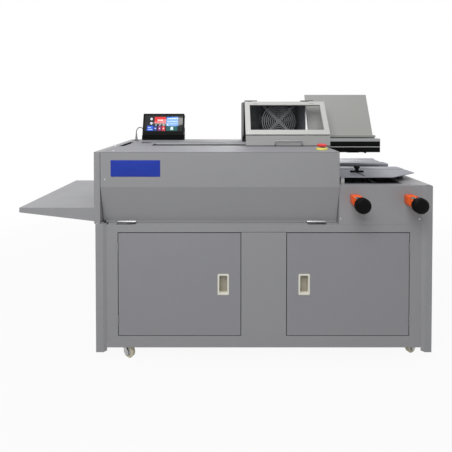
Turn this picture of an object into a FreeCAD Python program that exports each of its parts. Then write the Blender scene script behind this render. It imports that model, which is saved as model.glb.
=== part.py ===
import FreeCAD, Part
import math
import os
import sys
import Sketcher

"""Perfect binding machine: a parametric model in millimetres.

The cabinet's own axes are X to the right from its middle, Y to the rear from its front face and Z up
from the floor.  place() moves every piece by (shift_x, shift_y), so that the origin of the finished part
is the middle of its outline on the floor."""

doc = FreeCAD.newDocument("perfect_binding_machine")
sheet = doc.addObject("Spreadsheet::Sheet", "d")

DIMENSIONS = {
    "general": dict(gauge=1.5, air=0.3, fit=0.05, screw_hole=5),
    "cabinet": dict(
        cab_wide=1412, cab_deep=540, deck_high=899, deck_gauge=2, step_x=316, table_high=757, frame_low=68,
        leg_low=54, rear_flange=30, shelf=106, shelf_step=32, shelf_turn=180, mid_high=588, tube=25, tube_side=25, tube_front=40, panel_set=10, flange_left=31,
        flange_right=28, slant_run=12, cover_proud=5, cover_low=598, top_flange=25, low_flange=14,
    ),
    "doors": dict(
        door_low=118, door_tall=438, door_wide=518, door_mid=194, door_shift=0.5, door_gap=2, door_return=16,
        pull_wide=48, pull_tall=89, pull_low=292, pull_side=50, pull_lip=4, pull_deep=24, barrel=2.5, leaf=14,
        groove=1.2, groove_deep=0.6, barrel_long=40,
    ),
    "front_cover": dict(
        cover_left=-684, cover_face=752, cover_slope=35, cover_hinge_z=594.5, cover_barrel=4, top_lap=22.5,
        cover_barrel_long=80, cover_hinge_a=-584, cover_hinge_b=228, cover_return=15, cover_gap=1,
    ),
    "deck": dict(
        front_strip=229, channel_deep=170, channel_left=-526, notch_left=-606, notch_front=340,
        slot_x=-676, slot_wide=26, slot_from=205, slot_long=275, end_flange=40,
    ),
    "tray": dict(tray_reach=328, tray_high=658, tray_front=23, tray_deep=510, tray_rim=20, tray_root=59),
    "beam": dict(
        beam_right=600, beam_deep=50, beam_tall=50, rail_out=14, rail_low=858, rail_tall=16, rail_web=8,
        pulley_y=368, pulley_x=-579, idler_x=575, pulley_radius=20, pulley_low=884, pulley_tall=12,
        belt_tall=10, belt_thick=1.5, shaft=4, motor_size=57, motor_tall=76, lug_tall=5,
    ),
    "carriage": dict(
        carriage_left=269, carriage_long=336, jaw_rear_y=302, jaw_rear_thick=40, jaw_low=863, jaw_high=917,
        cap_high=931, jaw_front_y=248, jaw_front_thick=20, jaw_rod=6, jaw_rod_in=8, line_low=888, line_tall=5,
        block_long=60, block_in=21, block_in_right=211, block_low=848, block_tall=35, clamp_x=440, clamp_wide=20,
        end_plate=8, nub_in=266,
    ),
    "hood": dict(
        hood_left=-69, hood_right=251, hood_front=310, hood_high=1113, hood_over=341, hood_strip=25,
        pass_high=936, pass_back=402, collar_radius=75, collar_long=40, slat_pitch=29.4,
        slat_lap=2, slat_lean=5, slat_thick=1, lid_left=-64, lid_wide=405,
        lip_y=197, lip_high=954.5, lid_low=956, lid_long=189, lid_tilt=57.6, lid_thick=10, lid_side=25,
        lid_top=20, lid_bottom=25, pane_thick=3, pane_lap=12, lid_axis_y=305, lid_axis_z=1118, lid_barrel=3.5,
        lid_leaf_long=67, lid_leaf_b=286, handle_x=76, handle_wide=128, handle_low=906, handle_tall=21,
        handle_out=13, handle_thick=5,
    ),
    "fan": dict(
        fan_x=137, fan_size=205, fan_deep=60, fan_y=450, fan_z=905.6, fan_lean=6, fan_bore=95, fan_hub=40, fan_flange=8, fan_wall=4,
        fan_blade=91, fan_pin=5, ring_first=13, ring_step=11.3, ring_thick=2, strut_reach=124, strut_gap=8,
    ),
    "guide": dict(
        guide_left=269, guide_wide=336, guide_foot_y=328, guide_foot_z=941, guide_lean=85, guide_tall=214,
        guide_toe=22, gusset=5, gusset_a_in=66, gusset_b_in=35, guide_clear=1, guide_over=4,
    ),
    "table": dict(
        table_left=330, plate_top=788, plate_thick=3, front_plate_y=30, front_plate_deep=163,
        front_plate_right=699, corner_x=556, corner_y=120, jaw_right=700, nip_thick=14, nip_front_y=197, nip_front_deep=74,
        nip_rear_y=342, nip_rear_deep=71, rear_a_y=417, rear_a_deep=77, rear_a_right=688, rear_b_y=498,
        rear_b_deep=40, cross_a=335, cross_b=640, cross_wide=16, cross_b_front=135, cross_top=773, bed_thick=6, bed_front=271,
        guide_slot_x=441, guide_slot_wide=9, guide_slot_y=45, guide_slot_long=95, bracket_wide=24,
        bracket_deep=20, bracket_low=685,
    ),
    "adjusters": dict(
        wheel_a_in=67, wheel_b_in=95, wheel_z=695, spindle=6, dial_wide=38, dial_up=24, dial_down=22, dial_deep=40,
        hand_radius=31.5, hand_thick=28, hand_out=85, hand_hub=12,
    ),
    "stop": dict(stop_x=265, stop_y=79, stop_plate=24, stop_collar=15, stop_radius=21.5, stop_plate_high=8,
        stop_collar_high=2, stop_travel=3.5, stop_stem=7, stop_drop=7.5),
    "stations": dict(
        bed_z=700, bed_plate=6, bed_front_y=215, bed_back_y=395, bed_left=-450, bed_right=250, tank_left=-400, tank_long=280,
        tank_front=225, tank_deep=160, tank_top=840, tank_wall=6, tank_floor=12, roller_radius=34, roller_long=120,
        roller_top=846, mill_x=110, mill_y=286, mill_motor=60, mill_motor_tall=116, mill_base=140,
        cutter_radius=58, cutter_low=834, cutter_thick=10, cutter_teeth=12,
    ),
    "panel": dict(
        stand_left=-642, stand_wide=242, stand_front=496, stand_deep=40, stand_tall=29, case_left=-640,
        case_wide=238, case_tall=126, case_thick=28, case_tilt=15, screen_wide=222, screen_tall=95,
        screen_thick=2, screen_up=22, cable=2.25, gland_x=-680, gland_y=518, gland_tall=38, gland_radius=6,
    ),
    "casters": dict(
        wheel_radius=27, wheel_wide=24, swivel_left=-604, swivel_right=636, swivel_front=60, swivel_rear=490,
        trail=28, mount_long=116, mount_size=70, mount_thick=3, fork_plate=24, fork_thick=3, axle=4, kingpin=5, turn=30,
    ),
    "vents": dict(vent_left=-400, vent_mid=60, vent_right=260, vent_high=640, vent_low=280),
    "mains": dict(inlet_x=-560, inlet_z=180, inlet_wide=48, inlet_tall=28, inlet_deep=30, inlet_rim=4),
}

row = 0
for section, values in DIMENSIONS.items():
    for alias, value in values.items():
        row += 1
        sheet.set(f"A{row}", alias)
        sheet.set(f"B{row}", str(value))
        sheet.setAlias(f"B{row}", alias)
        sheet.set(f"C{row}", section)
doc.recompute()


class Size:
    """A length written as a spreadsheet expression, which combines with others like a number."""

    def __init__(self, text):
        self.text = str(text)

    def __add__(self, other):
        return Size(f"({self.text} + {other})")

    def __radd__(self, other):
        return Size(f"({other} + {self.text})")

    def __sub__(self, other):
        return Size(f"({self.text} - {other})")

    def __rsub__(self, other):
        return Size(f"({other} - {self.text})")

    def __mul__(self, other):
        return Size(f"({self.text} * {other})")

    __rmul__ = __mul__

    def __truediv__(self, other):
        return Size(f"({self.text} / {other})")

    def __neg__(self):
        return Size(f"(0 - {self.text})")

    def __str__(self):
        return self.text

    def __float__(self):
        return float(sheet.evalExpression(self.text))


class Sheet:
    """Gives each cell of the spreadsheet as a Size."""

    def __getattr__(self, alias):
        return Size(f"d.{alias}")


d = Sheet()
count = 0
pieces = []


def sine(angle):
    return Size(f"sin({angle})")


def cosine(angle):
    return Size(f"cos({angle})")


half = d.cab_wide / 2
left_end = -half - d.cover_proud - d.tray_reach
shift_x = -(half + left_end) / 2
shift_y = -(d.cab_deep + d.collar_long - d.hand_out) / 2

AXES = {
    "X": FreeCAD.Rotation(FreeCAD.Vector(0, 1, 0), 90),
    "Y": FreeCAD.Rotation(FreeCAD.Vector(1, 0, 0), -90),
    "Z": FreeCAD.Rotation(),
}
PLANES = {"XY": "XY_Plane", "XZ": "XZ_Plane", "YZ": "YZ_Plane"}


def name(kind):
    """A document name of its own for a helper object."""
    global count
    count += 1
    return f"{kind}_{count}"


def bind(thing, **properties):
    for key, value in properties.items():
        thing.setExpression(key.replace("_", "."), str(value))
    return thing


def move(thing, x=0, y=0, z=0):
    return bind(thing, Placement_Base_x=x, Placement_Base_y=y, Placement_Base_z=z)


def box(x, y, z, long, deep, tall):
    """A block from its least corner and its three sizes."""
    return move(bind(doc.addObject("Part::Box", name("box")), Length=long, Width=deep, Height=tall), x, y, z)


def rod(axis, x, y, z, radius, long):
    """A cylinder that starts at (x, y, z) and runs along an axis."""
    cylinder = doc.addObject("Part::Cylinder", name("rod"))
    cylinder.Placement = FreeCAD.Placement(FreeCAD.Vector(), AXES[axis])
    return move(bind(cylinder, Radius=radius, Height=long), x, y, z)


def fuse(*solids):
    if len(solids) == 1:
        return solids[0]
    union = doc.addObject("Part::MultiFuse", name("fuse"))
    union.Shapes = list(solids)
    return union


def cut(base, *tools):
    result = doc.addObject("Part::Cut", name("cut"))
    result.Base = base
    result.Tool = tools[0] if len(tools) == 1 else fuse(*tools)
    return result


def group(*solids):
    """Separate solids that share one node."""
    compound = doc.addObject("Part::Compound", name("group"))
    compound.Links = list(solids)
    return compound


def tube(axis, x, y, z, outer, inner, long):
    return cut(rod(axis, x, y, z, outer, long), rod(axis, x, y, z, inner, long))


def outline(sketch, points):
    """A closed outline of straight lines whose corners are tied to the sheet."""
    first = len(sketch.Geometry)
    spots = [FreeCAD.Vector(float(Size(u)), float(Size(v)), 0) for u, v in points]
    size = len(spots)
    for i in range(size):
        sketch.addGeometry(Part.LineSegment(spots[i], spots[(i + 1) % size]), False)
    for i in range(size):
        sketch.addConstraint(Sketcher.Constraint("Coincident", first + i, 2, first + (i + 1) % size, 1))
    for i, (u, v) in enumerate(points):
        for kind, size_text, value in (("DistanceX", u, spots[i].x), ("DistanceY", v, spots[i].y)):
            index = sketch.addConstraint(Sketcher.Constraint(kind, -1, 1, first + i, 1, value))
            sketch.setExpression(f"Constraints[{index}]", str(size_text))


def circle(sketch, u, v, radius):
    """A full circle whose middle and radius are tied to the sheet."""
    index = len(sketch.Geometry)
    middle = FreeCAD.Vector(float(Size(u)), float(Size(v)), 0)
    sketch.addGeometry(Part.Circle(middle, FreeCAD.Vector(0, 0, 1), float(Size(radius))), False)
    rules = (
        (Sketcher.Constraint("DistanceX", -1, 1, index, 3, middle.x), u),
        (Sketcher.Constraint("DistanceY", -1, 1, index, 3, middle.y), v),
        (Sketcher.Constraint("Radius", index, float(Size(radius))), radius),
    )
    for rule, text in rules:
        sketch.setExpression(f"Constraints[{sketch.addConstraint(rule)}]", str(text))


def body_with_sketch(plane, points, holes=(), rounds=()):
    body = doc.addObject("PartDesign::Body", name("body"))
    sketch = body.newObject("Sketcher::SketchObject", name("sketch"))
    sketch.AttachmentSupport = [(next(f for f in body.Origin.OriginFeatures if f.Role == PLANES[plane]), "")]
    sketch.MapMode = "FlatFace"
    outline(sketch, points)
    for hole in holes:
        if len(hole) == 3 and not isinstance(hole[0], tuple):
            circle(sketch, *hole)
        else:
            outline(sketch, hole)
    return body, sketch


def prism(plane, points, start, long, holes=(), rounds=()):
    """An outline in the XY, XZ or YZ plane, carried from start by long along the plane's third axis.

    rounds holds (corner's number, radius) pairs for the outline's corners that are round."""
    body, sketch = body_with_sketch(plane, points, holes)
    pad = body.newObject("PartDesign::Pad", name("pad"))
    pad.Profile = sketch
    pad.Reversed = plane == "XZ"
    bind(pad, Length=long)
    doc.recompute()
    across = {"XY": (0, 1), "XZ": (0, 2), "YZ": (1, 2)}[plane]
    for corner, radius in rounds:
        spot = [float(Size(v)) for v in points[corner]]
        tip = body.Tip
        edges = [
            f"Edge{i + 1}"
            for i, edge in enumerate(tip.Shape.Edges)
            if len(edge.Vertexes) == 2
            and all(abs(v.Point[axis] - s) < 1e-4 for v in edge.Vertexes for axis, s in zip(across, spot))
        ]
        fillet = body.newObject("PartDesign::Fillet", name("fillet"))
        fillet.Base = (tip, edges)
        bind(fillet, Radius=radius)
        doc.recompute()
    start_at = {"XY": (0, 0, start), "XZ": (0, start, 0), "YZ": (start, 0, 0)}[plane]
    return move(body, *start_at)


def turned(points, x, y, z, axis="Z"):
    """A closed half-profile of (radius, height) points, revolved about its height and set on an axis."""
    body, sketch = body_with_sketch("XZ", points)
    turn = body.newObject("PartDesign::Revolution", name("turn"))
    turn.Profile = sketch
    turn.ReferenceAxis = (sketch, ["V_Axis"])
    turn.Angle = 360
    body.Placement = FreeCAD.Placement(FreeCAD.Vector(), AXES[axis])
    return move(body, x, y, z)


def bent_rod(points, radius, bends=None):
    """A round bar along straight runs joined by tangent arcs.

    Each arc's radius is the given bend, or 0.45 of its shorter run over the tangent of half the turn."""
    spots = [FreeCAD.Vector(*[float(Size(c)) for c in point]) for point in points]
    edges, start, radii = [], spots[0], []
    for before, corner, after in zip(spots, spots[1:], spots[2:]):
        back, ahead = (before - corner), (after - corner)
        turn = math.pi - back.getAngle(ahead)
        bend = float(bends) if bends is not None else 0.45 * min(back.Length, ahead.Length) / math.tan(turn / 2)
        radii.append(bend)
        reach = bend * math.tan(turn / 2)
        entry = corner + back.normalize() * reach
        leave = corner + ahead.normalize() * reach
        middle = (back + ahead).normalize()
        crown = corner + middle * (bend / math.cos(turn / 2) - bend)
        edges.append(Part.LineSegment(start, entry).toShape())
        edges.append(Part.Arc(entry, crown, leave).toShape())
        start = leave
    edges.append(Part.LineSegment(start, spots[-1]).toShape())
    path = Part.Wire(edges)
    ring = Part.Wire(Part.makeCircle(float(Size(radius)), spots[0], spots[1] - spots[0]))
    solid = Part.Wire(path).makePipeShell([ring], True, True)
    feature = doc.addObject("Part::Feature", name("bent"))
    feature.Shape = solid
    print("bends", [round(r, 1) for r in radii], "volume", round(solid.Volume),
          "section x length", round(path.Length * math.pi * float(Size(radius)) ** 2))
    return feature


def piece(label, thing, x=0, y=0, z=0, tilt=None, axis=(1, 0, 0)):
    """Names a finished sub-part and sets it in the part's frame, turned by tilt about an axis if given."""
    base = thing if thing.TypeId in ("Part::MultiFuse", "Part::Cut", "Part::Compound") else group(thing)
    base.Label = label
    if tilt is not None:
        base.Placement = FreeCAD.Placement(FreeCAD.Vector(), FreeCAD.Rotation(FreeCAD.Vector(*axis), 1))
        bind(base, Placement_Rotation_Angle=tilt)
    move(base, shift_x + x, shift_y + y, z)
    pieces.append(base)
    return base


# --- frame and shell ------------------------------------------------------------------------------

wheel_a = d.step_x + d.wheel_a_in
wheel_b = half - d.wheel_b_in
tube_left = -half + d.tube_side
tube_right = half - d.tube_side - d.tube
tube_rear = d.cab_deep - d.gauge - d.tube
deck_under = d.deck_high - d.deck_gauge
table_seat = d.table_high - d.gauge
step_post = d.step_x - d.gauge - d.tube
channel_rear = d.front_strip + d.channel_deep
beam_front = channel_rear + 1
beam_low = deck_under - d.beam_tall


def rectangle(u0, v0, u1, v1):
    return [(u0, v0), (u1, v0), (u1, v1), (u0, v1)]


def base_frame():
    """Uprights, rails and cross bars of square tube, butt-welded, with the floor and the stations' bed plate."""
    bars = []
    posts = ((tube_left, deck_under), (step_post, deck_under), (tube_right, table_seat))
    bays = ((tube_left + d.tube, step_post), (step_post + d.tube, tube_right))
    for y in (d.tube_front, tube_rear):
        for x, top in posts:
            bars.append(box(x, y, d.frame_low, d.tube, d.tube, top - d.frame_low))
        rails = [(bay, z) for bay in bays for z in (d.frame_low, d.mid_high - d.tube)]
        rails += [(bays[0], deck_under - d.tube), (bays[1], table_seat - d.tube)]
        for (left, right), z in rails:
            bars.append(box(left, y, z, right - left, d.tube, d.tube))
    inner = d.tube_front + d.tube
    between = tube_rear - inner
    for x in (tube_left, tube_right):
        for z in (d.frame_low, d.mid_high - d.tube):
            bars.append(box(x, inner, z, d.tube, between, d.tube))
    bars.append(box(tube_right, inner, table_seat - d.tube, d.tube, between, d.tube))
    for x in (tube_left, step_post):
        bars.append(box(x, beam_front, beam_low - d.tube, d.tube, tube_rear - beam_front, d.tube))
    for x in (d.bed_left, d.bed_right - d.tube):
        bars.append(box(x, d.tube_front, d.bed_z - d.tube, d.tube, tube_rear + d.tube - d.tube_front, d.tube))
        for y in (d.tube_front, tube_rear):
            bars.append(box(x, y, d.mid_high, d.tube, d.tube, d.bed_z - d.tube - d.mid_high))
    bars.append(box(d.bed_left, d.bed_front_y, d.bed_z, d.bed_right - d.bed_left, d.bed_back_y - d.bed_front_y,
                    d.bed_plate))
    bars.append(box(tube_left, inner, d.frame_low + d.tube, tube_right + d.tube - tube_left, between, d.gauge))
    return group(*bars)


piece("base_frame", base_frame())


def side_sheets(side, flange, top):
    """A side panel's plane sheets: the side, the front flange, its slanted return, the rear flange and the foot
    under the frame's bottom bar."""
    outer = side * half
    inner = outer - side * d.gauge
    edge = side * (half - flange)
    tip = side * (half - flange - d.slant_run)
    rear = side * (half - d.rear_flange)
    turn = edge + side * 0.5
    plans = [
        [(outer, 0), (outer, d.cab_deep), (inner, d.cab_deep), (inner, 0)],
        [(inner, 0), (edge, 0), (turn, d.gauge), (inner, d.gauge)],
        [(edge, 0), (tip, d.panel_set), (tip + side * d.gauge, d.panel_set + d.gauge), (turn, d.gauge)],
        [(inner, d.cab_deep), (rear, d.cab_deep), (rear, d.cab_deep - d.gauge), (inner, d.cab_deep - d.gauge)],
    ]
    foot_left = inner - d.tube_side - d.tube + d.gauge if side > 0 else inner
    foot = box(foot_left, d.tube_front, d.frame_low - d.gauge, d.tube_side + d.tube - d.gauge,
               d.cab_deep - d.tube_front - d.gauge, d.gauge)
    return [*[prism("XY", plan, d.leg_low, top - d.leg_low) for plan in plans], foot]


left_top = d.cover_low - d.air
piece("left_side_panel", group(
    *side_sheets(-1, d.flange_left, left_top),
    box(-half + d.gauge, d.gauge, left_top - d.gauge, d.flange_left - d.gauge - 0.5, d.top_lap, d.gauge)))

flange_inner = half - d.shelf
shelf_front = d.panel_set + d.gauge + d.air
piece("right_side_panel", group(
    *side_sheets(1, d.flange_right, d.table_high),
    prism("XY", rectangle(flange_inner, shelf_front, half - d.gauge, d.shelf_turn), table_seat, d.gauge,
          holes=[rectangle(flange_inner + a, 24, flange_inner + b, 30) for a, b in ((14, 32), (42, 56))]),
    box(flange_inner + d.shelf_step, d.shelf_turn, table_seat, d.shelf - d.shelf_step - d.gauge,
        d.cab_deep - d.gauge - d.shelf_turn, d.gauge),
))

cover_outer = -half - d.cover_proud
deck_left = -half + d.top_flange - d.cover_proud
piece("upper_left_cover", fuse(
    box(cover_outer, 0, d.cover_low, d.gauge, d.cab_deep, d.deck_high - d.cover_low),
    box(cover_outer, 0, d.deck_high - d.gauge, deck_left - cover_outer, d.cab_deep, d.gauge),
    box(cover_outer, 0, d.cover_low, deck_left - cover_outer, d.gauge, d.deck_high - d.cover_low),
    box(cover_outer, d.tube_front, d.cover_low, tube_left - cover_outer, d.cab_deep - d.tube_front, d.gauge),
    box(cover_outer, 0, d.cover_low, deck_left - cover_outer, d.tube_front, d.gauge),
    box(deck_left - d.gauge, 0, d.cover_low, d.gauge, d.tube_front + 2, deck_under - d.air - d.cover_low),
    box(cover_outer, d.cab_deep - d.gauge, d.cover_low, d.rear_flange + d.cover_proud, d.gauge,
        deck_under - d.air - d.cover_low),
))

panel_left = -half + d.flange_left + d.slant_run
panel_right = half - d.flange_right - d.slant_run
door_inner = {-1: d.door_shift - d.door_mid / 2, 1: d.door_shift + d.door_mid / 2}
door_outer = {side: door_inner[side] + side * d.door_wide for side in (-1, 1)}
door_top = d.door_low + d.door_tall


front_back = d.tube_front - d.panel_set
middle_seam = box(door_inner[-1], d.panel_set - 1, door_top + d.door_gap, d.door_mid, d.groove_deep + 1, d.groove)
behind = d.panel_set + d.gauge
panel_low = d.frame_low - d.gauge
opening_low = d.door_low - d.door_gap
opening_top = door_top + d.door_gap
stiles = ((panel_left, door_outer[-1] - d.door_gap), (door_inner[-1] + d.door_gap, door_inner[1] - d.door_gap),
          (door_outer[1] + d.door_gap, panel_right))
piece("front_panel", group(
    box(panel_left, d.panel_set, panel_low, panel_right - panel_left, d.gauge, opening_low - panel_low),
    *[box(a, d.panel_set, opening_low, b - a, d.gauge, opening_top - opening_low) for a, b in stiles],
    cut(box(panel_left, d.panel_set, opening_top, panel_right - panel_left, d.gauge,
            d.mid_high + d.gauge - opening_top), middle_seam),
    box(panel_left, behind, d.mid_high, panel_right - panel_left, front_back - d.gauge, d.gauge),
    box(tube_left + d.tube + d.air, behind, d.frame_low - d.gauge,
        tube_right - tube_left - d.tube - d.air * 2, front_back - d.gauge, d.gauge),
))


def louvres(x, z):
    """Six pressed vents, one above another."""
    return [rectangle(x, z + i * 18, x + 90, z + i * 18 + 6) for i in range(6)]


rear_edge = half - d.rear_flange - d.air
inlet_hole = rectangle(d.inlet_x, d.inlet_z, d.inlet_x + d.inlet_wide, d.inlet_z + d.inlet_tall)
piece("rear_panel", fuse(prism(
    "XZ",
    [(-rear_edge, d.frame_low), (rear_edge, d.frame_low), (rear_edge, table_seat - 4), (d.step_x, table_seat - 4),
     (d.step_x, deck_under - d.air), (-rear_edge, deck_under - d.air)],
    d.cab_deep - d.gauge, d.gauge,
    holes=louvres(d.vent_left, d.vent_high) + louvres(d.vent_mid, d.vent_high) + louvres(d.vent_left, d.vent_low)
    + louvres(d.vent_right, d.vent_low) + [inlet_hole],
)))

apron_left = d.step_x + 2
apron_foot = d.mid_high + d.gauge + d.air
piece("apron_panel", group(
    prism("XZ", rectangle(apron_left, d.mid_high + d.gauge + d.air, panel_right, d.table_high), d.panel_set, d.gauge,
          holes=[(x, d.wheel_z, d.spindle + 1) for x in (wheel_a, wheel_b)]),
    box(apron_left, behind, table_seat, flange_inner - d.air - apron_left, front_back - d.gauge, d.gauge),
    box(apron_left, behind, apron_foot, panel_right - 20 - apron_left, front_back - d.gauge, d.gauge),
    box(apron_left, behind, apron_foot + d.gauge, d.gauge, front_back - d.gauge, table_seat - apron_foot - d.gauge),
))

deck_edge = deck_left + d.air
piece("deck_plate", fuse(
    prism("XY",
          [(deck_edge, 0), (d.step_x, 0), (d.step_x, d.front_strip), (d.channel_left, d.front_strip),
           (d.channel_left, d.notch_front), (d.notch_left, d.notch_front), (d.notch_left, channel_rear),
           (d.step_x, channel_rear), (d.step_x, d.cab_deep), (deck_edge, d.cab_deep)],
          deck_under, d.deck_gauge,
          holes=[rectangle(d.slot_x, d.slot_from, d.slot_x + d.slot_wide, d.slot_from + d.slot_long)],
          rounds=[(1, 9)]),
    box(d.step_x - d.gauge, 19, deck_under - d.end_flange, d.gauge, d.front_strip - 19, d.end_flange),
))


def side_tray():
    """A flat tray whose folded edges hang from it, shallow at the tip and deep at the cabinet."""
    root = cover_outer
    tip = root - d.tray_reach
    under = d.tray_high - d.gauge
    fall = (d.tray_root - d.tray_rim) / d.tray_reach * d.gauge
    cheek = [(tip + d.gauge, under), (root - d.gauge, under), (root - d.gauge, d.tray_high - d.tray_root + fall),
             (tip + d.gauge, d.tray_high - d.tray_rim - fall)]
    return group(
        box(tip, d.tray_front, under, d.tray_reach, d.tray_deep, d.gauge),
        box(tip, d.tray_front, d.tray_high - d.tray_rim, d.gauge, d.tray_deep, d.tray_rim - d.gauge),
        prism("XZ", cheek, d.tray_front, d.gauge),
        prism("XZ", cheek, d.tray_front + d.tray_deep - d.gauge, d.gauge),
        box(root - d.gauge, d.tray_front, d.tray_high - d.tray_root, d.gauge, d.tray_deep, d.tray_root - d.gauge),
    )


piece("side_tray", side_tray())

# --- doors and front cover ------------------------------------------------------------------------

pull_wide_in = d.pull_wide - d.pull_lip * 2
pull_left = {
    -1: door_inner[-1] - d.pull_side - d.pull_wide,
    1: door_inner[1] + d.pull_side,
}


def door(side):
    """A sheet pan that closes flush with the front panel, with a hole for its pull."""
    left, right = sorted((door_inner[side], door_outer[side]), key=float)
    x = pull_left[side] + d.pull_lip - d.fit
    hole = rectangle(x, d.pull_low + d.pull_lip - d.fit, x + pull_wide_in + d.fit * 2,
                     d.pull_low + d.pull_tall - d.pull_lip + d.fit)
    face = prism("XZ", rectangle(left, d.door_low, right, door_top), d.panel_set, d.gauge, holes=[hole])
    deep = d.door_return - d.gauge
    wide = right - left - d.gauge * 2
    return group(
        face,
        box(left, behind, d.door_low, d.gauge, deep, d.door_tall),
        box(right - d.gauge, behind, d.door_low, d.gauge, deep, d.door_tall),
        box(left + d.gauge, behind, d.door_low, wide, deep, d.gauge),
        box(left + d.gauge, behind, door_top - d.gauge, wide, deep, d.gauge),
    )


def door_pull(side):
    """A flanged plastic cup that the fingers reach into."""
    x = pull_left[side]
    inner = x + d.pull_lip
    low = d.pull_low + d.pull_lip
    tall = d.pull_tall - d.pull_lip * 2
    flange = prism("XZ", rectangle(x, d.pull_low, x + d.pull_wide, d.pull_low + d.pull_tall), d.panel_set - 2, 2,
                   rounds=[(i, 5) for i in range(4)])
    cup = box(inner, d.panel_set, low, pull_wide_in, d.pull_deep, tall)
    well = prism("XZ", rectangle(inner + 3, low + 3, inner + pull_wide_in - 3, low + tall - 3), d.panel_set - 3,
                 d.pull_deep + 1, rounds=[(i, 6) for i in range(4)])
    return cut(fuse(flange, cup), well)


for side, word in ((-1, "left"), (1, "right")):
    piece(f"{word}_door", door(side))
    piece(f"{word}_door_pull", door_pull(side))

hinge_y = d.cover_slope
cover_foot_z = d.cover_hinge_z + d.cover_barrel + d.air * 2
cover_top = deck_under - d.air
cover_back = d.cover_slope - d.gauge
cover_right = d.step_x - d.air
cover_profile = [
    (0, cover_top), (0, d.cover_face), (d.cover_slope, cover_foot_z), (d.cover_slope + d.gauge, cover_foot_z),
    (d.gauge, d.cover_face + 1), (d.gauge, cover_top - d.gauge), (18, cover_top - d.gauge), (18, cover_top),
]
hinge_clear = d.cover_barrel_long / 2 + 2
foot_runs = (
    (-half + d.flange_left + 1, d.cover_hinge_a - hinge_clear),
    (d.cover_hinge_a + hinge_clear, d.cover_hinge_b - hinge_clear),
    (d.cover_hinge_b + hinge_clear, cover_right),
)
piece("front_cover", fuse(
    prism("YZ", cover_profile, d.cover_left, cover_right - d.cover_left),
    box(d.cover_left, 0, d.cover_face, d.gauge, d.cover_return, cover_top - d.cover_face),
    box(cover_right - d.gauge, 0, d.cover_face, d.gauge, d.cover_return, cover_top - d.cover_face),
    *[box(a, d.cover_slope, d.mid_high + d.gauge + 1, b - a, d.gauge, cover_foot_z + 1 - d.mid_high - d.gauge)
      for a, b in foot_runs],
))


def hinges():
    """Barrels and leaves of the doors, the front cover and the hood lid."""
    parts = []
    axis_y = d.panel_set - d.barrel - d.air
    back = d.panel_set + d.gauge
    for side in (-1, 1):
        x = door_outer[side] + side * d.door_gap / 2
        web = x - d.door_gap / 5
        for z in (d.door_low + 45, door_top - 45 - d.barrel_long):
            parts.append(fuse(
                rod("Z", x, axis_y, z, d.barrel, d.barrel_long),
                box(web, axis_y, z, d.door_gap / 2.5, back - axis_y, d.barrel_long),
                box(web if side > 0 else web - d.leaf, back, z, d.leaf + d.door_gap / 2.5, d.gauge, d.barrel_long),
            ))
    seat = d.mid_high + d.gauge
    for x in (d.cover_hinge_a, d.cover_hinge_b):
        start = x - d.cover_barrel_long / 2
        parts.append(fuse(
            rod("X", start, hinge_y, d.cover_hinge_z, d.cover_barrel, d.cover_barrel_long),
            box(start, hinge_y - 20, seat, d.cover_barrel_long, d.tube_front - d.air - hinge_y + 20, d.gauge),
        ))
    for x in (d.lid_left, d.lid_left + d.lid_leaf_b):
        parts.append(fuse(
            rod("X", x, d.lid_axis_y, d.lid_axis_z, d.lid_barrel, d.lid_leaf_long * 0.6),
            box(x, d.hood_front, d.hood_high, d.lid_leaf_long, 24, 2),
            box(x, d.lid_axis_y, d.hood_high, d.lid_leaf_long * 0.6, d.hood_front - d.lid_axis_y, 3),
        ))
    return group(*parts)


piece("hinges", hinges())

# --- carriage drive -------------------------------------------------------------------------------

beam_left = tube_left
rail_front = beam_front - d.rail_out
rail_top = d.rail_low + d.rail_tall


def carriage_beam():
    """An extruded beam with a waisted guide rail along its front and the idler's lug at its end."""
    head = rail_front + d.rail_out / 2
    waist = (d.rail_tall - d.rail_web) / 2
    section = [
        (beam_front, beam_low), (beam_front + d.beam_deep, beam_low), (beam_front + d.beam_deep, deck_under),
        (beam_front, deck_under), (beam_front, rail_top - waist), (head, rail_top - waist), (head - 2, rail_top),
        (rail_front, rail_top), (rail_front, d.rail_low), (head - 2, d.rail_low), (head, d.rail_low + waist),
        (beam_front, d.rail_low + waist),
    ]
    lug = prism("XY", [(d.idler_x - 14, beam_front + 1), (d.idler_x - 14, d.pulley_y - 12),
                       (d.idler_x + 14, d.pulley_y - 12), (d.idler_x + 14, beam_front + 1)],
                beam_low, d.lug_tall, rounds=[(1, 10), (2, 10)])
    pin = rod("Z", d.idler_x, d.pulley_y, beam_low, d.shaft, d.pulley_low + d.pulley_tall - beam_low)
    return fuse(prism("YZ", section, beam_left, d.beam_right - beam_left), lug, pin)


piece("carriage_beam", carriage_beam())


def pulley(x):
    """A toothed-belt pulley: a groove between two thin flanges."""
    r, tall = d.pulley_radius, d.pulley_tall
    profile = [(d.shaft + d.fit, 0), (r + 2, 0), (r + 2, 0.7), (r, 0.7), (r, tall - 0.7), (r + 2, tall - 0.7),
               (r + 2, tall), (d.shaft + d.fit, tall)]
    return turned(profile, x, d.pulley_y, d.pulley_low)


piece("drive_pulley", pulley(d.pulley_x))
piece("idler_pulley", pulley(d.idler_x))

belt_low = d.pulley_low + 1
belt_inner = d.pulley_radius + d.air


def belt_loop(radius):
    """A racetrack round both pulleys, at a radius from their shafts."""
    return fuse(
        rod("Z", d.pulley_x, d.pulley_y, belt_low, radius, d.belt_tall),
        rod("Z", d.idler_x, d.pulley_y, belt_low, radius, d.belt_tall),
        box(d.pulley_x, d.pulley_y - radius, belt_low, d.idler_x - d.pulley_x, radius * 2, d.belt_tall),
    )


piece("drive_belt", cut(belt_loop(belt_inner + d.belt_thick), belt_loop(belt_inner)))

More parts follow.
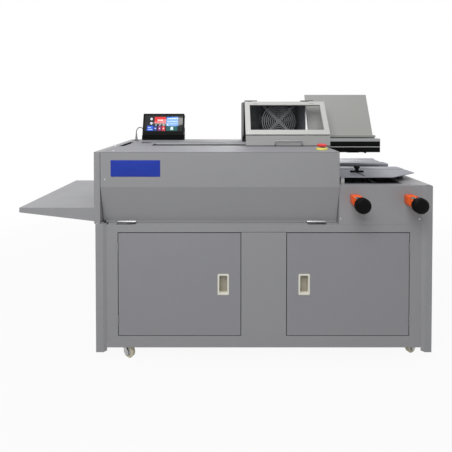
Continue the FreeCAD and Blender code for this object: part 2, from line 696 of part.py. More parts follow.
motor_top = beam_low
piece("carriage_motor", fuse(
    prism("XY", rectangle(d.pulley_x - d.motor_size / 2, d.pulley_y - d.motor_size / 2,
                          d.pulley_x + d.motor_size / 2, d.pulley_y + d.motor_size / 2),
          motor_top - d.motor_tall, d.motor_tall, rounds=[(i, 6) for i in range(4)]),
    box(d.pulley_x - 40, d.pulley_y - 30, motor_top, 80, beam_front - d.pulley_y + 30, 4),
    rod("Z", d.pulley_x, d.pulley_y, motor_top, d.shaft, d.pulley_low + d.pulley_tall - motor_top),
))

carriage_right = d.carriage_left + d.carriage_long
jaw_back = d.jaw_rear_y + d.jaw_rear_thick
rod_a = d.carriage_left + d.jaw_rod_in
rod_b = carriage_right - d.jaw_rod_in
rod_z = d.jaw_low + 12


def carriage_body():
    """The rear jaw with its two bores, the blocks that wrap the rail, the belt clamp and the end plate."""
    jaw = box(d.carriage_left, d.jaw_rear_y, d.jaw_low, d.carriage_long, d.jaw_rear_thick, d.cap_high - d.jaw_low)
    parts = [jaw]
    depth = beam_front - 1 - jaw_back
    for x in (d.carriage_left + d.block_in, d.carriage_left + d.block_in_right):
        block = box(x, jaw_back, d.block_low, d.block_long, depth, d.block_tall)
        slot = box(x, rail_front - d.air, d.rail_low - d.air, d.block_long, d.rail_out, d.rail_tall + d.air * 2)
        parts.append(cut(block, slot))
        parts.append(box(x, jaw_back - 2, d.jaw_low, d.block_long, 4, 16))
    outer = d.pulley_y - belt_inner - d.belt_thick
    clamp = box(d.clamp_x, jaw_back, d.block_low + d.block_tall - 4, d.clamp_wide, outer + 5 - jaw_back, 17)
    gap = box(d.clamp_x, outer - d.air, belt_low - d.air, d.clamp_wide, d.belt_thick + d.air * 2, 20)
    parts.append(cut(clamp, gap))
    parts.append(box(carriage_right, d.jaw_front_y + d.jaw_front_thick + 2, d.jaw_low, d.end_plate,
                     jaw_back - d.jaw_front_y - d.jaw_front_thick - 2, d.jaw_high - d.jaw_low))
    bores = [rod("Y", x, d.jaw_rear_y - 1, rod_z, d.jaw_rod + d.fit, d.jaw_rear_thick + 2) for x in (rod_a, rod_b)]
    return cut(fuse(*parts), *bores)


piece("carriage_body", carriage_body())


def front_jaw():
    """The moving jaw: a bar with a bead along its face and two rods that slide in the rear jaw."""
    bar = box(d.carriage_left, d.jaw_front_y, d.jaw_low, d.carriage_long, d.jaw_front_thick, d.jaw_high - d.jaw_low)
    bead = box(d.carriage_left, d.jaw_front_y - 1, d.line_low, d.carriage_long - 22, 2, d.line_tall)
    nub = rod("Z", d.carriage_left + d.nub_in, d.jaw_front_y + 8, d.jaw_low - 5, 5, 8)
    rods = [rod("Y", x, d.jaw_front_y + 10, rod_z, d.jaw_rod, d.jaw_rear_y + 30 - d.jaw_front_y - 10)
            for x in (rod_a, rod_b)]
    return fuse(bar, bead, nub, *rods)


piece("front_jaw", front_jaw())
piece("jaw_cap", fuse(prism(
    "YZ", rectangle(d.jaw_front_y - 1, d.jaw_high, d.jaw_front_y + d.jaw_front_thick, d.cap_high),
    d.carriage_left, d.carriage_long, rounds=[(3, 2)])))

# --- hood -----------------------------------------------------------------------------------------

hood_rear = d.cab_deep


def hood_side():
    """Side wall of the fan housing, cut away below for the carriage."""
    return [(d.hood_front, d.pass_high), (d.pass_back, d.pass_high), (d.pass_back, d.deck_high),
            (hood_rear, d.deck_high), (hood_rear, d.hood_high - d.gauge), (d.hood_front, d.hood_high - d.gauge)]


collar_z = d.fan_z + d.fan_size / 2
collar_bore = d.collar_radius - d.gauge
hood_under = d.hood_high - d.gauge


def collar_part(i, parts):
    """One of the equal lengths of arc that make up the collar."""
    far = d.collar_radius * 2
    turns = [math.radians(360 * (i + 1 + (parts - 1) * k / 7) / parts) for k in range(8)]
    rest = [(d.fan_x, collar_z)] + [(d.fan_x + far * math.cos(t), collar_z + far * math.sin(t)) for t in turns]
    return cut(tube("Y", d.fan_x, hood_rear, collar_z, d.collar_radius, collar_bore, d.collar_long),
               prism("XZ", rest, hood_rear - 1, d.collar_long + 2))


def shutter_slat(i):
    """One slat of the closed gravity shutter, which hangs in the collar behind the fan."""
    top = collar_z + collar_bore - d.slat_pitch * i
    low = top - d.slat_pitch - d.slat_lap
    front = hood_rear + d.slat_lap
    back = front + d.slat_lean
    slat = prism("YZ", [(front, top), (front + d.slat_thick, top), (back + d.slat_thick, low), (back, low)],
                 d.fan_x - collar_bore, collar_bore * 2)
    return cut(slat, tube("Y", d.fan_x, hood_rear - 5, collar_z, d.collar_radius * 2, collar_bore, d.collar_long))


piece("fan_housing", group(
    prism("YZ", hood_side(), d.hood_left, d.gauge),
    prism("YZ", hood_side(), d.hood_right - d.gauge, d.gauge),
    prism("XY", [(d.hood_left, d.hood_front), (d.hood_over, d.hood_front), (d.hood_over, d.hood_front + d.hood_strip),
                 (d.hood_right, d.hood_front + d.hood_strip), (d.hood_right, hood_rear), (d.hood_left, hood_rear)],
          hood_under, d.gauge),
    prism("XZ", rectangle(d.hood_left + d.gauge, d.deck_high, d.hood_right - d.gauge, hood_under),
          hood_rear - d.gauge, d.gauge, holes=[(d.fan_x, collar_z, collar_bore)]),
    *[collar_part(i, 16) for i in range(16)],
    *[shutter_slat(i) for i in range(5)],
))

lid_right = d.lid_left + d.lid_wide


def lid_frame():
    """The lid's rim in its own plane: X across, Y up the slope, and knuckles at its top edge."""
    rim = prism("XY", rectangle(0, 0, d.lid_wide, d.lid_long), -d.lid_thick, d.lid_thick,
                holes=[rectangle(d.lid_side, d.lid_bottom, d.lid_wide - d.lid_side, d.lid_long - d.lid_top)],
                rounds=[(i, 3) for i in range(4)])
    up = (d.lid_axis_y - d.lip_y) * cosine(d.lid_tilt) + (d.lid_axis_z - d.lid_low) * sine(d.lid_tilt)
    out = (d.lid_axis_z - d.lid_low) * cosine(d.lid_tilt) - (d.lid_axis_y - d.lip_y) * sine(d.lid_tilt)
    parts = [rim]
    for x in (d.lid_leaf_long * 0.6 + d.air, d.lid_leaf_b + d.lid_leaf_long * 0.6 + d.air):
        parts.append(rod("X", x, up, out, d.lid_barrel, d.lid_leaf_long * 0.35))
        parts.append(box(x, d.lid_long - 12, -1, d.lid_leaf_long * 0.35, up - d.lid_long + 12, 3))
    return fuse(*parts)


piece("lid_frame", lid_frame(), d.lid_left, d.lip_y, d.lid_low, tilt=d.lid_tilt)
piece("lid_pane", fuse(box(
    d.lid_side - d.pane_lap, d.lid_bottom - d.pane_lap, -d.lid_thick - d.pane_thick,
    d.lid_wide - d.lid_side * 2 + d.pane_lap * 2, d.lid_long - d.lid_bottom - d.lid_top + d.pane_lap * 2,
    d.pane_thick)), d.lid_left, d.lip_y, d.lid_low, tilt=d.lid_tilt)
lip_low = d.deck_high + d.air
piece("lid_lip", fuse(prism(
    "YZ", [(d.lip_y, lip_low), (d.lip_y + d.gauge, lip_low), (d.lip_y + d.gauge, d.lip_high - 6),
           (d.lip_y + 12, d.lip_high - 6), (d.lip_y + 12, d.lip_high - 4.5), (d.lip_y, d.lip_high - 4.5),
           ],
    d.lid_left, d.lid_wide)))

handle_y = d.lip_y - d.handle_thick / 2 - d.air
piece("lid_handle", fuse(bent_rod(
    [(d.handle_x, d.lip_y, d.handle_low), (d.handle_x, d.lip_y - d.handle_out, d.handle_low),
     (d.handle_x, d.lip_y - d.handle_out, d.handle_low + d.handle_tall),
     (d.handle_x + d.handle_wide, d.lip_y - d.handle_out, d.handle_low + d.handle_tall),
     (d.handle_x + d.handle_wide, d.lip_y - d.handle_out, d.handle_low),
     (d.handle_x + d.handle_wide, d.lip_y, d.handle_low)],
    d.handle_thick / 2, bends=d.handle_thick)))

# --- fan ------------------------------------------------------------------------------------------

fan_mid = d.fan_size / 2


def fan_frame():
    """A square duct with a round bore, cut-back sides, a spider and the rotor's pin behind."""
    flanges = [prism("XZ", rectangle(-fan_mid, 0, fan_mid, d.fan_size), y, d.fan_flange,
                     holes=[(0, fan_mid, d.fan_bore)], rounds=[(i, 12) for i in range(4)])
               for y in (0, d.fan_deep - d.fan_flange)]
    duct = tube("Y", 0, d.fan_flange, fan_mid, d.fan_bore + d.fan_wall, d.fan_bore, d.fan_deep - d.fan_flange * 2)
    spider = []
    for angle in (30, 150, 270):
        arm = doc.addObject("Part::Box", name("arm"))
        bind(arm, Length=d.fan_bore - 0.6, Width=5, Height=9)
        arm.Placement = FreeCAD.Placement(
            FreeCAD.Vector(), FreeCAD.Rotation(FreeCAD.Vector(0, 1, 0), angle))
        spider.append(move(arm, 0, d.fan_deep - 7, fan_mid))
    hub = rod("Y", 0, d.fan_deep - 9, fan_mid, d.fan_hub - 4, 8)
    pin = rod("Y", 0, 13.5, fan_mid, d.fan_pin, d.fan_deep - 18)
    return group(*flanges, duct, fuse(*spider, hub, pin))


def blade(angle):
    """A swept fan blade, lofted from a steep root section to a flatter tip section."""
    sections = []
    for radius, pitch, chord, thick in ((d.fan_hub - 2, 52, 34, 3), (float(d.fan_hub + d.fan_blade) / 2, 42, 48, 2.4),
                                        (d.fan_blade, 32, 62, 1.6)):
        slope = math.radians(pitch)
        along = FreeCAD.Vector(math.cos(slope), math.sin(slope), 0)
        across = FreeCAD.Vector(-math.sin(slope), math.cos(slope), 0)
        middle = FreeCAD.Vector(0, float(d.fan_deep) / 2 - 1, float(radius))
        points = [middle + along * (u * chord) + across * (v * thick)
                  for u, v in ((-0.5, 0), (0, 1), (0.5, 0), (0, -0.2))]
        sections.append(Part.Wire(Part.makePolygon(points + points[:1])))
    shape = Part.makeLoft(sections, True, True)
    shape.rotate(FreeCAD.Vector(0, 0, 0), FreeCAD.Vector(0, 1, 0), angle)
    feature = doc.addObject("Part::Feature", name("blade"))
    feature.Shape = shape
    return move(feature, 0, 0, fan_mid)


def fan_rotor():
    """Seven blades on a drum that turns on the frame's pin."""
    drum = cut(rod("Y", 0, 10, fan_mid, d.fan_hub, d.fan_deep - 21),
               rod("Y", 0, 13, fan_mid, d.fan_pin + d.fit, d.fan_deep))
    return fuse(drum, *[blade(i * 360 / 7) for i in range(7)])


def fan_guard():
    """Concentric wire rings on two crossed pairs of wires."""
    rings = []
    for i in range(8):
        radius = d.ring_first + d.ring_step * i
        rings.append(tube("Y", 0, -d.ring_thick * 2 - d.air, fan_mid, radius + d.ring_thick / 2,
                          radius - d.ring_thick / 2, d.ring_thick))
    wires = []
    for angle in (45, -45):
        for offset in (-0.5, 0.5):
            wire = doc.addObject("Part::Box", name("wire"))
            bind(wire, Length=d.strut_reach * 2, Width=d.ring_thick, Height=d.ring_thick)
            turn = math.radians(-angle)
            wire.Placement = FreeCAD.Placement(FreeCAD.Vector(), FreeCAD.Rotation(FreeCAD.Vector(0, 1, 0), angle))
            wires.append(move(
                wire,
                d.strut_reach * -math.cos(turn) + d.strut_gap * (offset * -math.sin(turn)),
                -d.ring_thick - d.air,
                fan_mid + d.strut_reach * -math.sin(turn) + d.strut_gap * (offset * math.cos(turn)),
            ))
    return group(*rings, fuse(*wires))


piece("fan_frame", fan_frame(), d.fan_x, d.fan_y, d.fan_z, tilt=-d.fan_lean)
piece("fan_rotor", fan_rotor(), d.fan_x, d.fan_y, d.fan_z, tilt=-d.fan_lean)
piece("fan_guard", fan_guard(), d.fan_x, d.fan_y, d.fan_z, tilt=-d.fan_lean)

# --- book guide -----------------------------------------------------------------------------------


def guide_back(z):
    """Y of the leaning plate's rear face at a height."""
    return d.guide_foot_y + d.guide_lean * ((z - d.guide_foot_z) / d.guide_tall) + d.gauge * 1.2


def book_guide():
    """The leaning plate with its toe, and the two gussets that stand on the beam."""
    foot_z = d.guide_foot_z
    top_z = foot_z + d.guide_tall
    top_y = d.guide_foot_y + d.guide_lean
    plate = prism("YZ", [
        (d.guide_foot_y - d.guide_toe, foot_z), (d.guide_foot_y + d.gauge, foot_z),
        (top_y + d.gauge * 1.2, top_z), (top_y, top_z), (d.guide_foot_y, foot_z + d.gauge),
        (d.guide_foot_y - d.guide_toe, foot_z + d.gauge)],
        d.guide_left, d.guide_wide)
    lip_low = d.cap_high + d.guide_clear
    lip = box(d.guide_left, d.guide_foot_y - d.guide_toe, lip_low, d.guide_wide + d.guide_over, d.gauge,
              foot_z + d.gauge - lip_low)
    high = foot_z + d.guide_tall * 0.75
    gusset_profile = [
        (beam_front + 2, deck_under), (beam_front + d.beam_deep, deck_under), (beam_front + d.beam_deep, deck_under + 20),
        (guide_back(high) + 2, high), (guide_back(high) - 1, high), (guide_back(foot_z + 14) - 1, foot_z + 14),
        (beam_front + 2, foot_z + 8),
    ]
    places = (d.guide_left + d.gusset_a_in, d.guide_left + d.guide_wide - d.gusset_b_in)
    return fuse(plate, lip, *[prism("YZ", gusset_profile, x, d.gusset) for x in places])


piece("book_guide", book_guide())

# --- cover table ----------------------------------------------------------------------------------

plate_under = d.plate_top - d.plate_thick
nip_under = d.plate_top - d.nip_thick
slot_left = d.guide_slot_x - d.guide_slot_wide / 2
front_plate_back = d.front_plate_y + d.front_plate_deep


def table_plates():
    """The front plate with its slanting corner and slot, and the two strips behind the rear jaw."""
    front = prism("XY", [(d.table_left, d.front_plate_y), (d.corner_x, d.front_plate_y),
                         (d.front_plate_right, d.corner_y), (d.front_plate_right, front_plate_back),
                         (d.table_left, front_plate_back)],
                  plate_under, d.plate_thick,
                  holes=[rectangle(slot_left, d.guide_slot_y, slot_left + d.guide_slot_wide,
                                   d.guide_slot_y + d.guide_slot_long)],
                  rounds=[(1, 20), (2, 4)])
    mid = prism("XY", rectangle(d.table_left, d.rear_a_y, d.rear_a_right, d.rear_a_y + d.rear_a_deep),
                plate_under, d.plate_thick, rounds=[(1, 12)])
    rear = prism("XY", rectangle(d.table_left, d.rear_b_y, d.jaw_right, d.rear_b_y + d.rear_b_deep),
                 plate_under, d.plate_thick, rounds=[(1, 12)])
    return group(front, mid, rear)


piece("table_plates", table_plates())


def table_base():
    """Two cross bars with pads for the plates, and the bed between them under the book."""
    parts = []
    for x, low, front in ((d.cross_a, table_seat, d.tube_front), (d.cross_b, d.table_high, d.cross_b_front)):
        parts.append(box(x, front, low, d.cross_wide, tube_rear + d.tube - front, d.cross_top - low))
        parts.append(box(x, front, d.cross_top, d.cross_wide, front_plate_back - front - 4,
                         plate_under - d.cross_top))
        parts.append(box(x, d.rear_a_y + 3, d.cross_top, d.cross_wide, 110, plate_under - d.cross_top))
    bed_deep = d.nip_rear_y - d.bed_front
    parts.append(box(d.cross_a, d.bed_front, d.cross_top - d.bed_thick, d.cross_b + d.cross_wide - d.cross_a,
                     bed_deep, d.bed_thick))
    return fuse(*parts)


piece("table_base", table_base())


def nip_jaw(y, deep, wheel_x, bracket_y, nose):
    """A nipping plate with a rounded end, a lipped edge at the book and the nut its spindle drives."""
    plate = prism("XY", rectangle(d.table_left, y, d.jaw_right, y + deep), nip_under + d.air, d.nip_thick - d.air,
                  rounds=[(1, 14), (2, 14)])
    bracket = box(wheel_x - d.bracket_wide / 2, bracket_y, d.bracket_low, d.bracket_wide, d.bracket_deep,
                  nip_under + d.air + 2 - d.bracket_low)
    nut = rod("Y", wheel_x, bracket_y - 1, d.wheel_z, d.spindle + d.air, d.bracket_deep + 2)
    return cut(fuse(plate, bracket), nut)


piece("front_nip_jaw", nip_jaw(d.nip_front_y, d.nip_front_deep, wheel_a, d.nip_front_y + 8, 1))
piece("rear_nip_jaw", nip_jaw(d.nip_rear_y, d.nip_rear_deep, wheel_b, d.nip_rear_y + 43, -1))

guide_y = d.guide_slot_y + d.guide_slot_long - 10
piece("cover_guide", fuse(
    prism("XY", rectangle(d.guide_slot_x - 30, guide_y - 7, d.guide_slot_x + 30, guide_y + 7), d.plate_top + d.air, 7,
          rounds=[(i, 4) for i in range(4)]),
    rod("Z", d.guide_slot_x, guide_y, plate_under - 5, 4, d.plate_thick + 8),
    rod("Z", d.guide_slot_x, guide_y, plate_under - 6, 9, 6 - d.air),
    rod("Z", d.guide_slot_x, guide_y, d.plate_top + 5, 3, 20),
))
knob_low = d.plate_top + 7 + d.air * 2
piece("guide_knob", fuse(turned(
    [(3 + d.fit, 0), (8, 0), (8, 9), (13, 12), (13, 19), (10, 21), (3 + d.fit, 21)],
    d.guide_slot_x, guide_y, knob_low)))


# --- adjusters and stop ---------------------------------------------------------------------------


def position_indicator(x):
    """A digital indicator's case: round below, with a sloping window above, bored for the spindle."""
    front = d.panel_set - d.dial_deep
    w = d.dial_wide / 2
    case = prism("XZ", rectangle(x - w, d.wheel_z - d.dial_down, x + w, d.wheel_z + d.dial_up), front,
                 d.dial_deep - d.air, rounds=[(0, 18), (1, 18), (2, 5), (3, 5)])
    bore = rod("Y", x, front - 1, d.wheel_z, d.spindle + d.air, d.dial_deep + 2)
    window = prism("YZ", [(front - 1, d.wheel_z + d.dial_up - 16), (front - 1, d.wheel_z + d.dial_up + 1),
                          (front + 20, d.wheel_z + d.dial_up + 1)], x - w + 4, d.dial_wide - 8)
    return cut(case, bore, window)


piece("position_indicators", group(position_indicator(wheel_a), position_indicator(wheel_b)))


def handwheel(x, reach):
    """A domed knob with a hub and the screw spindle that it turns."""
    r, t = d.hand_radius, d.hand_thick
    profile = [(0, 0), (r * 0.55, 0), (r * 0.86, 2.5), (r, 8), (r, t - 5), (r - 3, t), (d.hand_hub, t),
               (d.hand_hub, t + 7), (d.spindle, t + 7), (d.spindle, reach), (0, reach)]
    return turned(profile, x, -d.hand_out, d.wheel_z, axis="Y")


spindle_a = d.nip_front_y + 8 + d.bracket_deep + 34 + d.hand_out
spindle_b = d.nip_rear_y + 43 + d.bracket_deep + 6 + d.hand_out
piece("left_handwheel", fuse(handwheel(wheel_a, spindle_a)))
piece("right_handwheel", fuse(handwheel(wheel_b, spindle_b)))

collar_foot = d.deck_high + d.stop_plate_high
piece("stop_base", cut(
    fuse(rod("Z", d.stop_x, d.stop_y, d.deck_high, d.stop_plate, d.stop_plate_high),
         rod("Z", d.stop_x, d.stop_y, collar_foot - 1, d.stop_collar, d.stop_collar_high + 1)),
    rod("Z", d.stop_x, d.stop_y, d.deck_high + 2, d.stop_stem + d.air, 20)))
button_low = collar_foot + d.stop_collar_high + d.stop_travel + d.air
r = d.stop_radius
piece("stop_button", fuse(turned(
    [(0, -d.stop_drop), (d.stop_stem, -d.stop_drop), (d.stop_stem, 0), (r - 3, 0), (r, 3), (r, 6.5), (r * 0.86, 10),
     (r * 0.5, 12), (0, 12.5)],
    d.stop_x, d.stop_y, button_low)))

# --- stations -------------------------------------------------------------------------------------

bed_top = d.bed_z + d.bed_plate
roller_x = d.tank_left + d.tank_long * 0.5
roller_y = d.tank_front + d.tank_deep / 2
roller_z = d.roller_top - d.roller_radius


def glue_tank():
    """An open pot on the bed, with end bearings for its roller."""
    shell = box(d.tank_left, d.tank_front, bed_top, d.tank_long, d.tank_deep, roller_z + 10 - bed_top)
    inside = box(d.tank_left + d.tank_wall, d.tank_front + d.tank_wall, bed_top + d.tank_floor,
                 d.tank_long - d.tank_wall * 2, d.tank_deep - d.tank_wall * 2, d.tank_deep)
    bores = rod("Y", roller_x, d.tank_front - 1, roller_z, 8 + d.fit, d.tank_deep + 2)
    return cut(shell, inside, bores)


piece("glue_tank", glue_tank())
piece("glue_roller", fuse(
    rod("Y", roller_x, roller_y - d.roller_long / 2, roller_z, d.roller_radius, d.roller_long),
    rod("Y", roller_x, d.tank_front + 0.5, roller_z, 8, d.tank_deep - 1)))

piece("milling_motor", fuse(
    box(d.mill_x - d.mill_base / 2, d.mill_y - d.mill_base / 2, bed_top, d.mill_base, d.mill_base, 8),
    rod("Z", d.mill_x, d.mill_y, bed_top, d.mill_motor, d.mill_motor_tall),
    rod("Z", d.mill_x, d.mill_y, bed_top, 8, d.cutter_low + d.cutter_thick - bed_top)))


def milling_cutter():
    """A disc cutter with a ring of gullets."""
    disc = rod("Z", d.mill_x, d.mill_y, d.cutter_low, d.cutter_radius, d.cutter_thick)
    bore = rod("Z", d.mill_x, d.mill_y, d.cutter_low - 1, 8 + d.fit, d.cutter_thick + 2)
    gullets = []
    for i in range(12):
        turn = 2 * math.pi * i / 12
        gullets.append(rod("Z", d.mill_x + d.cutter_radius * math.cos(turn), d.mill_y + d.cutter_radius * math.sin(turn),
                           d.cutter_low - 1, 7, d.cutter_thick + 2))
    return cut(disc, bore, *gullets)


piece("milling_cutter", milling_cutter())

# --- operator panel -------------------------------------------------------------------------------

case_z = d.deck_high + d.stand_tall
heel_y = d.case_thick * cosine(d.case_tilt)
heel_z = case_z - d.case_thick * sine(d.case_tilt)
tangent = sine(d.case_tilt) / cosine(d.case_tilt)
piece("panel_stand", fuse(prism(
    "YZ", [(d.stand_front, d.deck_high), (d.stand_front + d.stand_deep, d.deck_high),
           (d.stand_front + d.stand_deep, heel_z - d.air * 2 + (d.stand_deep - heel_y) / tangent), (d.stand_front + heel_y, heel_z - d.air),
           (d.stand_front, case_z - d.air)],
    d.stand_left, d.stand_wide)))


def panel_case():
    """The screen's case in its own plane: X across, Y up the face, with a recess for the glass."""
    case = prism("XY", rectangle(0, 0, d.case_wide, d.case_tall), -d.case_thick, d.case_thick,
                 rounds=[(i, 5) for i in range(4)])
    recess = box((d.case_wide - d.screen_wide) / 2 - d.fit, d.screen_up - d.fit, -d.screen_thick - 1,
                 d.screen_wide + d.fit * 2, d.screen_tall + d.fit * 2, d.screen_thick + 2)
    return cut(case, recess)


face_turn = 90 - d.case_tilt
piece("panel_housing", panel_case(), d.case_left, d.stand_front, case_z, tilt=face_turn)
piece("touch_screen", fuse(box(
    (d.case_wide - d.screen_wide) / 2, d.screen_up, -d.screen_thick - 0.7, d.screen_wide, d.screen_tall,
    d.screen_thick)), d.case_left, d.stand_front, case_z, tilt=face_turn)

gland_top = d.deck_high + d.gland_tall
piece("cable_gland", fuse(turned(
    [(0, 0), (d.gland_radius + 3, 0), (d.gland_radius + 3, 5), (d.gland_radius, 6), (d.gland_radius, 16),
     (d.gland_radius - 1, 18), (3.2, d.gland_tall), (0, d.gland_tall)],
    d.gland_x, d.gland_y, d.deck_high)))
piece("panel_cable", fuse(bent_rod(
    [(d.case_left - 2, d.gland_y, gland_top + 25), (d.gland_x + 28, d.gland_y, gland_top + 35),
     (d.gland_x + 12, d.gland_y, gland_top + 32), (d.gland_x, d.gland_y, gland_top + 16),
     (d.gland_x, d.gland_y, gland_top)], d.cable)))

# --- casters and mains ----------------------------------------------------------------------------

mount_under = d.frame_low - d.gauge - d.mount_thick
disc_top = mount_under - d.air
disc_low = disc_top - 4
leg_y = d.wheel_wide / 2 + 1.5


def fork_legs(top):
    """Two pressed legs and the axle, round the swivel axis at the origin with the wheel trailing in +X."""
    shape = [(-14, top), (14, top), (d.trail + 10, d.wheel_radius + 6), (d.trail + 8, d.wheel_radius - 8),
             (d.trail - 8, d.wheel_radius - 8), (d.trail - 14, d.wheel_radius + 8)]
    rounds = [(2, 7), (3, 7), (4, 7)]
    return [
        prism("XZ", shape, leg_y, d.fork_thick, rounds=rounds),
        prism("XZ", shape, -leg_y - d.fork_thick, d.fork_thick, rounds=rounds),
        rod("Y", d.trail, -leg_y - d.fork_thick - 2, d.wheel_radius, d.axle, (leg_y + d.fork_thick + 2) * 2),
        box(-14, -leg_y - d.fork_thick, top - 4, 28, (leg_y + d.fork_thick) * 2, 4),
    ]


def fork():
    """A swivelling fork under its ball race."""
    race = rod("Z", 0, 0, disc_low, d.fork_plate, disc_top - disc_low)
    bore = rod("Z", 0, 0, disc_low - 5, d.kingpin + d.fit, 12)
    return cut(fuse(race, *fork_legs(disc_low + 1)), bore)


def mount_plate(x, y):
    return box(x - d.mount_long / 2, y - d.mount_size / 2, mount_under, d.mount_long, d.mount_size, d.mount_thick)


def caster_mounts():
    """Front plates with kingpins, and rear plates with rigid forks."""
    parts = []
    for x in (d.swivel_left, d.swivel_right):
        pin = rod("Z", x, d.swivel_front, disc_low, d.kingpin, d.mount_thick + disc_top - disc_low + d.air)
        parts.append(fuse(mount_plate(x, d.swivel_front), pin))
        legs = fuse(*fork_legs(mount_under + 1))
        move(legs, x, d.swivel_rear, 0)
        parts.append(fuse(mount_plate(x, d.swivel_rear), legs))
    return group(*parts)


piece("caster_mounts", caster_mounts())


def wheel():
    """A tyre with rounded shoulders on a hub, about the axle along Y."""
    w, r = d.wheel_wide / 2, d.wheel_radius
    b = d.axle + d.fit
    return turned([(b, -w), (12, -w), (r - 9, -w + 3), (r - 6, -w), (r, -w + 5),
                   (r, w - 5), (r - 6, w), (r - 9, w - 3), (12, w), (b, w)],
                  d.trail, 0, r, axis="Y")


for word, x, y, angle in (
    ("left_front", d.swivel_left, d.swivel_front, -d.turn), ("right_front", d.swivel_right, d.swivel_front, d.turn),
    ("left_rear", d.swivel_left, d.swivel_rear, None), ("right_rear", d.swivel_right, d.swivel_rear, None),
):
    if angle is not None:
        piece(f"{word}_fork", fork(), x, y, 0, tilt=angle, axis=(0, 0, 1))
    piece(f"{word}_wheel", fuse(wheel()), x, y, 0, tilt=angle, axis=(0, 0, 1))

piece("mains_inlet", fuse(
    cut(box(d.inlet_x + d.fit, d.cab_deep - d.inlet_deep, d.inlet_z + d.fit, d.inlet_wide - d.fit * 2, d.inlet_deep,
            d.inlet_tall - d.fit * 2),
        box(d.inlet_x + 5, d.cab_deep - 18, d.inlet_z + 5, d.inlet_wide - 10, 30, d.inlet_tall - 10)),
    cut(box(d.inlet_x - d.inlet_rim, d.cab_deep, d.inlet_z - d.inlet_rim, d.inlet_wide + d.inlet_rim * 2, 3,
            d.inlet_tall + d.inlet_rim * 2),
        box(d.inlet_x + 5, d.cab_deep - 2, d.inlet_z + 5, d.inlet_wide - 10, 8, d.inlet_tall - 10))))


# --- checks and export ----------------------------------------------------------------------------

doc.recompute()
faults = [f"{o.Label}: {o.State}" for o in doc.Objects if {"Invalid", "Error"} & set(o.State)]
faults += [f"{p.Label}: shape" for p in pieces if p.Shape.isNull() or not p.Shape.isValid() or not p.Shape.Solids]
if faults:
    sys.exit("failed: " + "; ".join(faults))
os.makedirs("parts", exist_ok=True)
for each in pieces:
    each.Shape.exportStep(f"parts/{each.Label}.step")
print(len(pieces), "pieces written")
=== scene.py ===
"""Looks of the perfect binding machine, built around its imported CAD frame.

Lengths are metres in the row frame.  place() takes millimetres in the cabinet's own axes: X to the
right from the cabinet's middle, Y to the rear from its front face and Z up from the floor."""

import math

import bmesh
import bpy
import numpy as np
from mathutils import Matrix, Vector


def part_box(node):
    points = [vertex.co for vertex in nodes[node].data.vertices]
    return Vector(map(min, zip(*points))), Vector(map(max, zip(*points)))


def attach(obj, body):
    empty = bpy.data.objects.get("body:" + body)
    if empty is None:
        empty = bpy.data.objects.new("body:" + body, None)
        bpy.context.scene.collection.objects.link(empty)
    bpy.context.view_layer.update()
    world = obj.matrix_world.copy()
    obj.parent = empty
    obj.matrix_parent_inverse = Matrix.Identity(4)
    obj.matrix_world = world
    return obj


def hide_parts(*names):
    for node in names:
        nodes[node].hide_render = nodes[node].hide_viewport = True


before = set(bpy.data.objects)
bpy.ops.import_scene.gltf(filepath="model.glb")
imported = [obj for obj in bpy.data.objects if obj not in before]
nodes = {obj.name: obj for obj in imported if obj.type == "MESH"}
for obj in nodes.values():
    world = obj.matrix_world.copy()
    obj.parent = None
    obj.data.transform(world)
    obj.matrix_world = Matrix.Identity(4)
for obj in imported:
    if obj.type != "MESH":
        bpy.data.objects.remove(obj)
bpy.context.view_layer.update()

CABINET_WIDE, CABINET_DEEP = 1412, 540
SHIFT = np.array([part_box("right_side_panel")[1].x * 1000 - CABINET_WIDE / 2,
                  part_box("rear_panel")[1].y * 1000 - CABINET_DEEP, 0.0])


def place(x, y, z):
    """Cabinet millimetres to row metres."""
    return (np.array([x, y, z], float) + SHIFT) / 1000


# --- shader nodes ---------------------------------------------------------------------------------


class Wire:
    """A number on a shader socket, which sums, scales and compares like a number in Python."""

    def __init__(self, shader, socket):
        self.shader, self.socket = shader, socket

    def math(self, operation, *values):
        """The result of a Math node that does that operation on the values."""
        node = self.shader.add("ShaderNodeMath", dict(operation=operation), dict(enumerate(values)))
        return Wire(self.shader, node.outputs[0])

    def __add__(self, other):
        return self.math("ADD", self, other)

    __radd__ = __add__

    def __sub__(self, other):
        return self.math("SUBTRACT", self, other)

    def __rsub__(self, other):
        return self.math("SUBTRACT", other, self)

    def __mul__(self, other):
        return self.math("MULTIPLY", self, other)

    __rmul__ = __mul__

    def __truediv__(self, other):
        return self.math("DIVIDE", self, other)

    def __gt__(self, other):
        return self.math("GREATER_THAN", self, other)

    def __lt__(self, other):
        return self.math("LESS_THAN", self, other)

    def __pow__(self, other):
        return self.math("POWER", self, other)

    def sine(self):
        return self.math("SINE", self)

    def larger(self, other):
        return self.math("MAXIMUM", self, other)

    def within(self, low, high):
        """1 between low and high, and 0 elsewhere."""
        return (self > low) * (self < high)

    def smooth(self, low, high):
        """0 below low, 1 above high and an S-curve between."""
        node = self.shader.add("ShaderNodeMapRange", dict(interpolation_type="SMOOTHSTEP"),
                               {"Value": self, "From Min": low, "From Max": high})
        return Wire(self.shader, node.outputs["Result"])


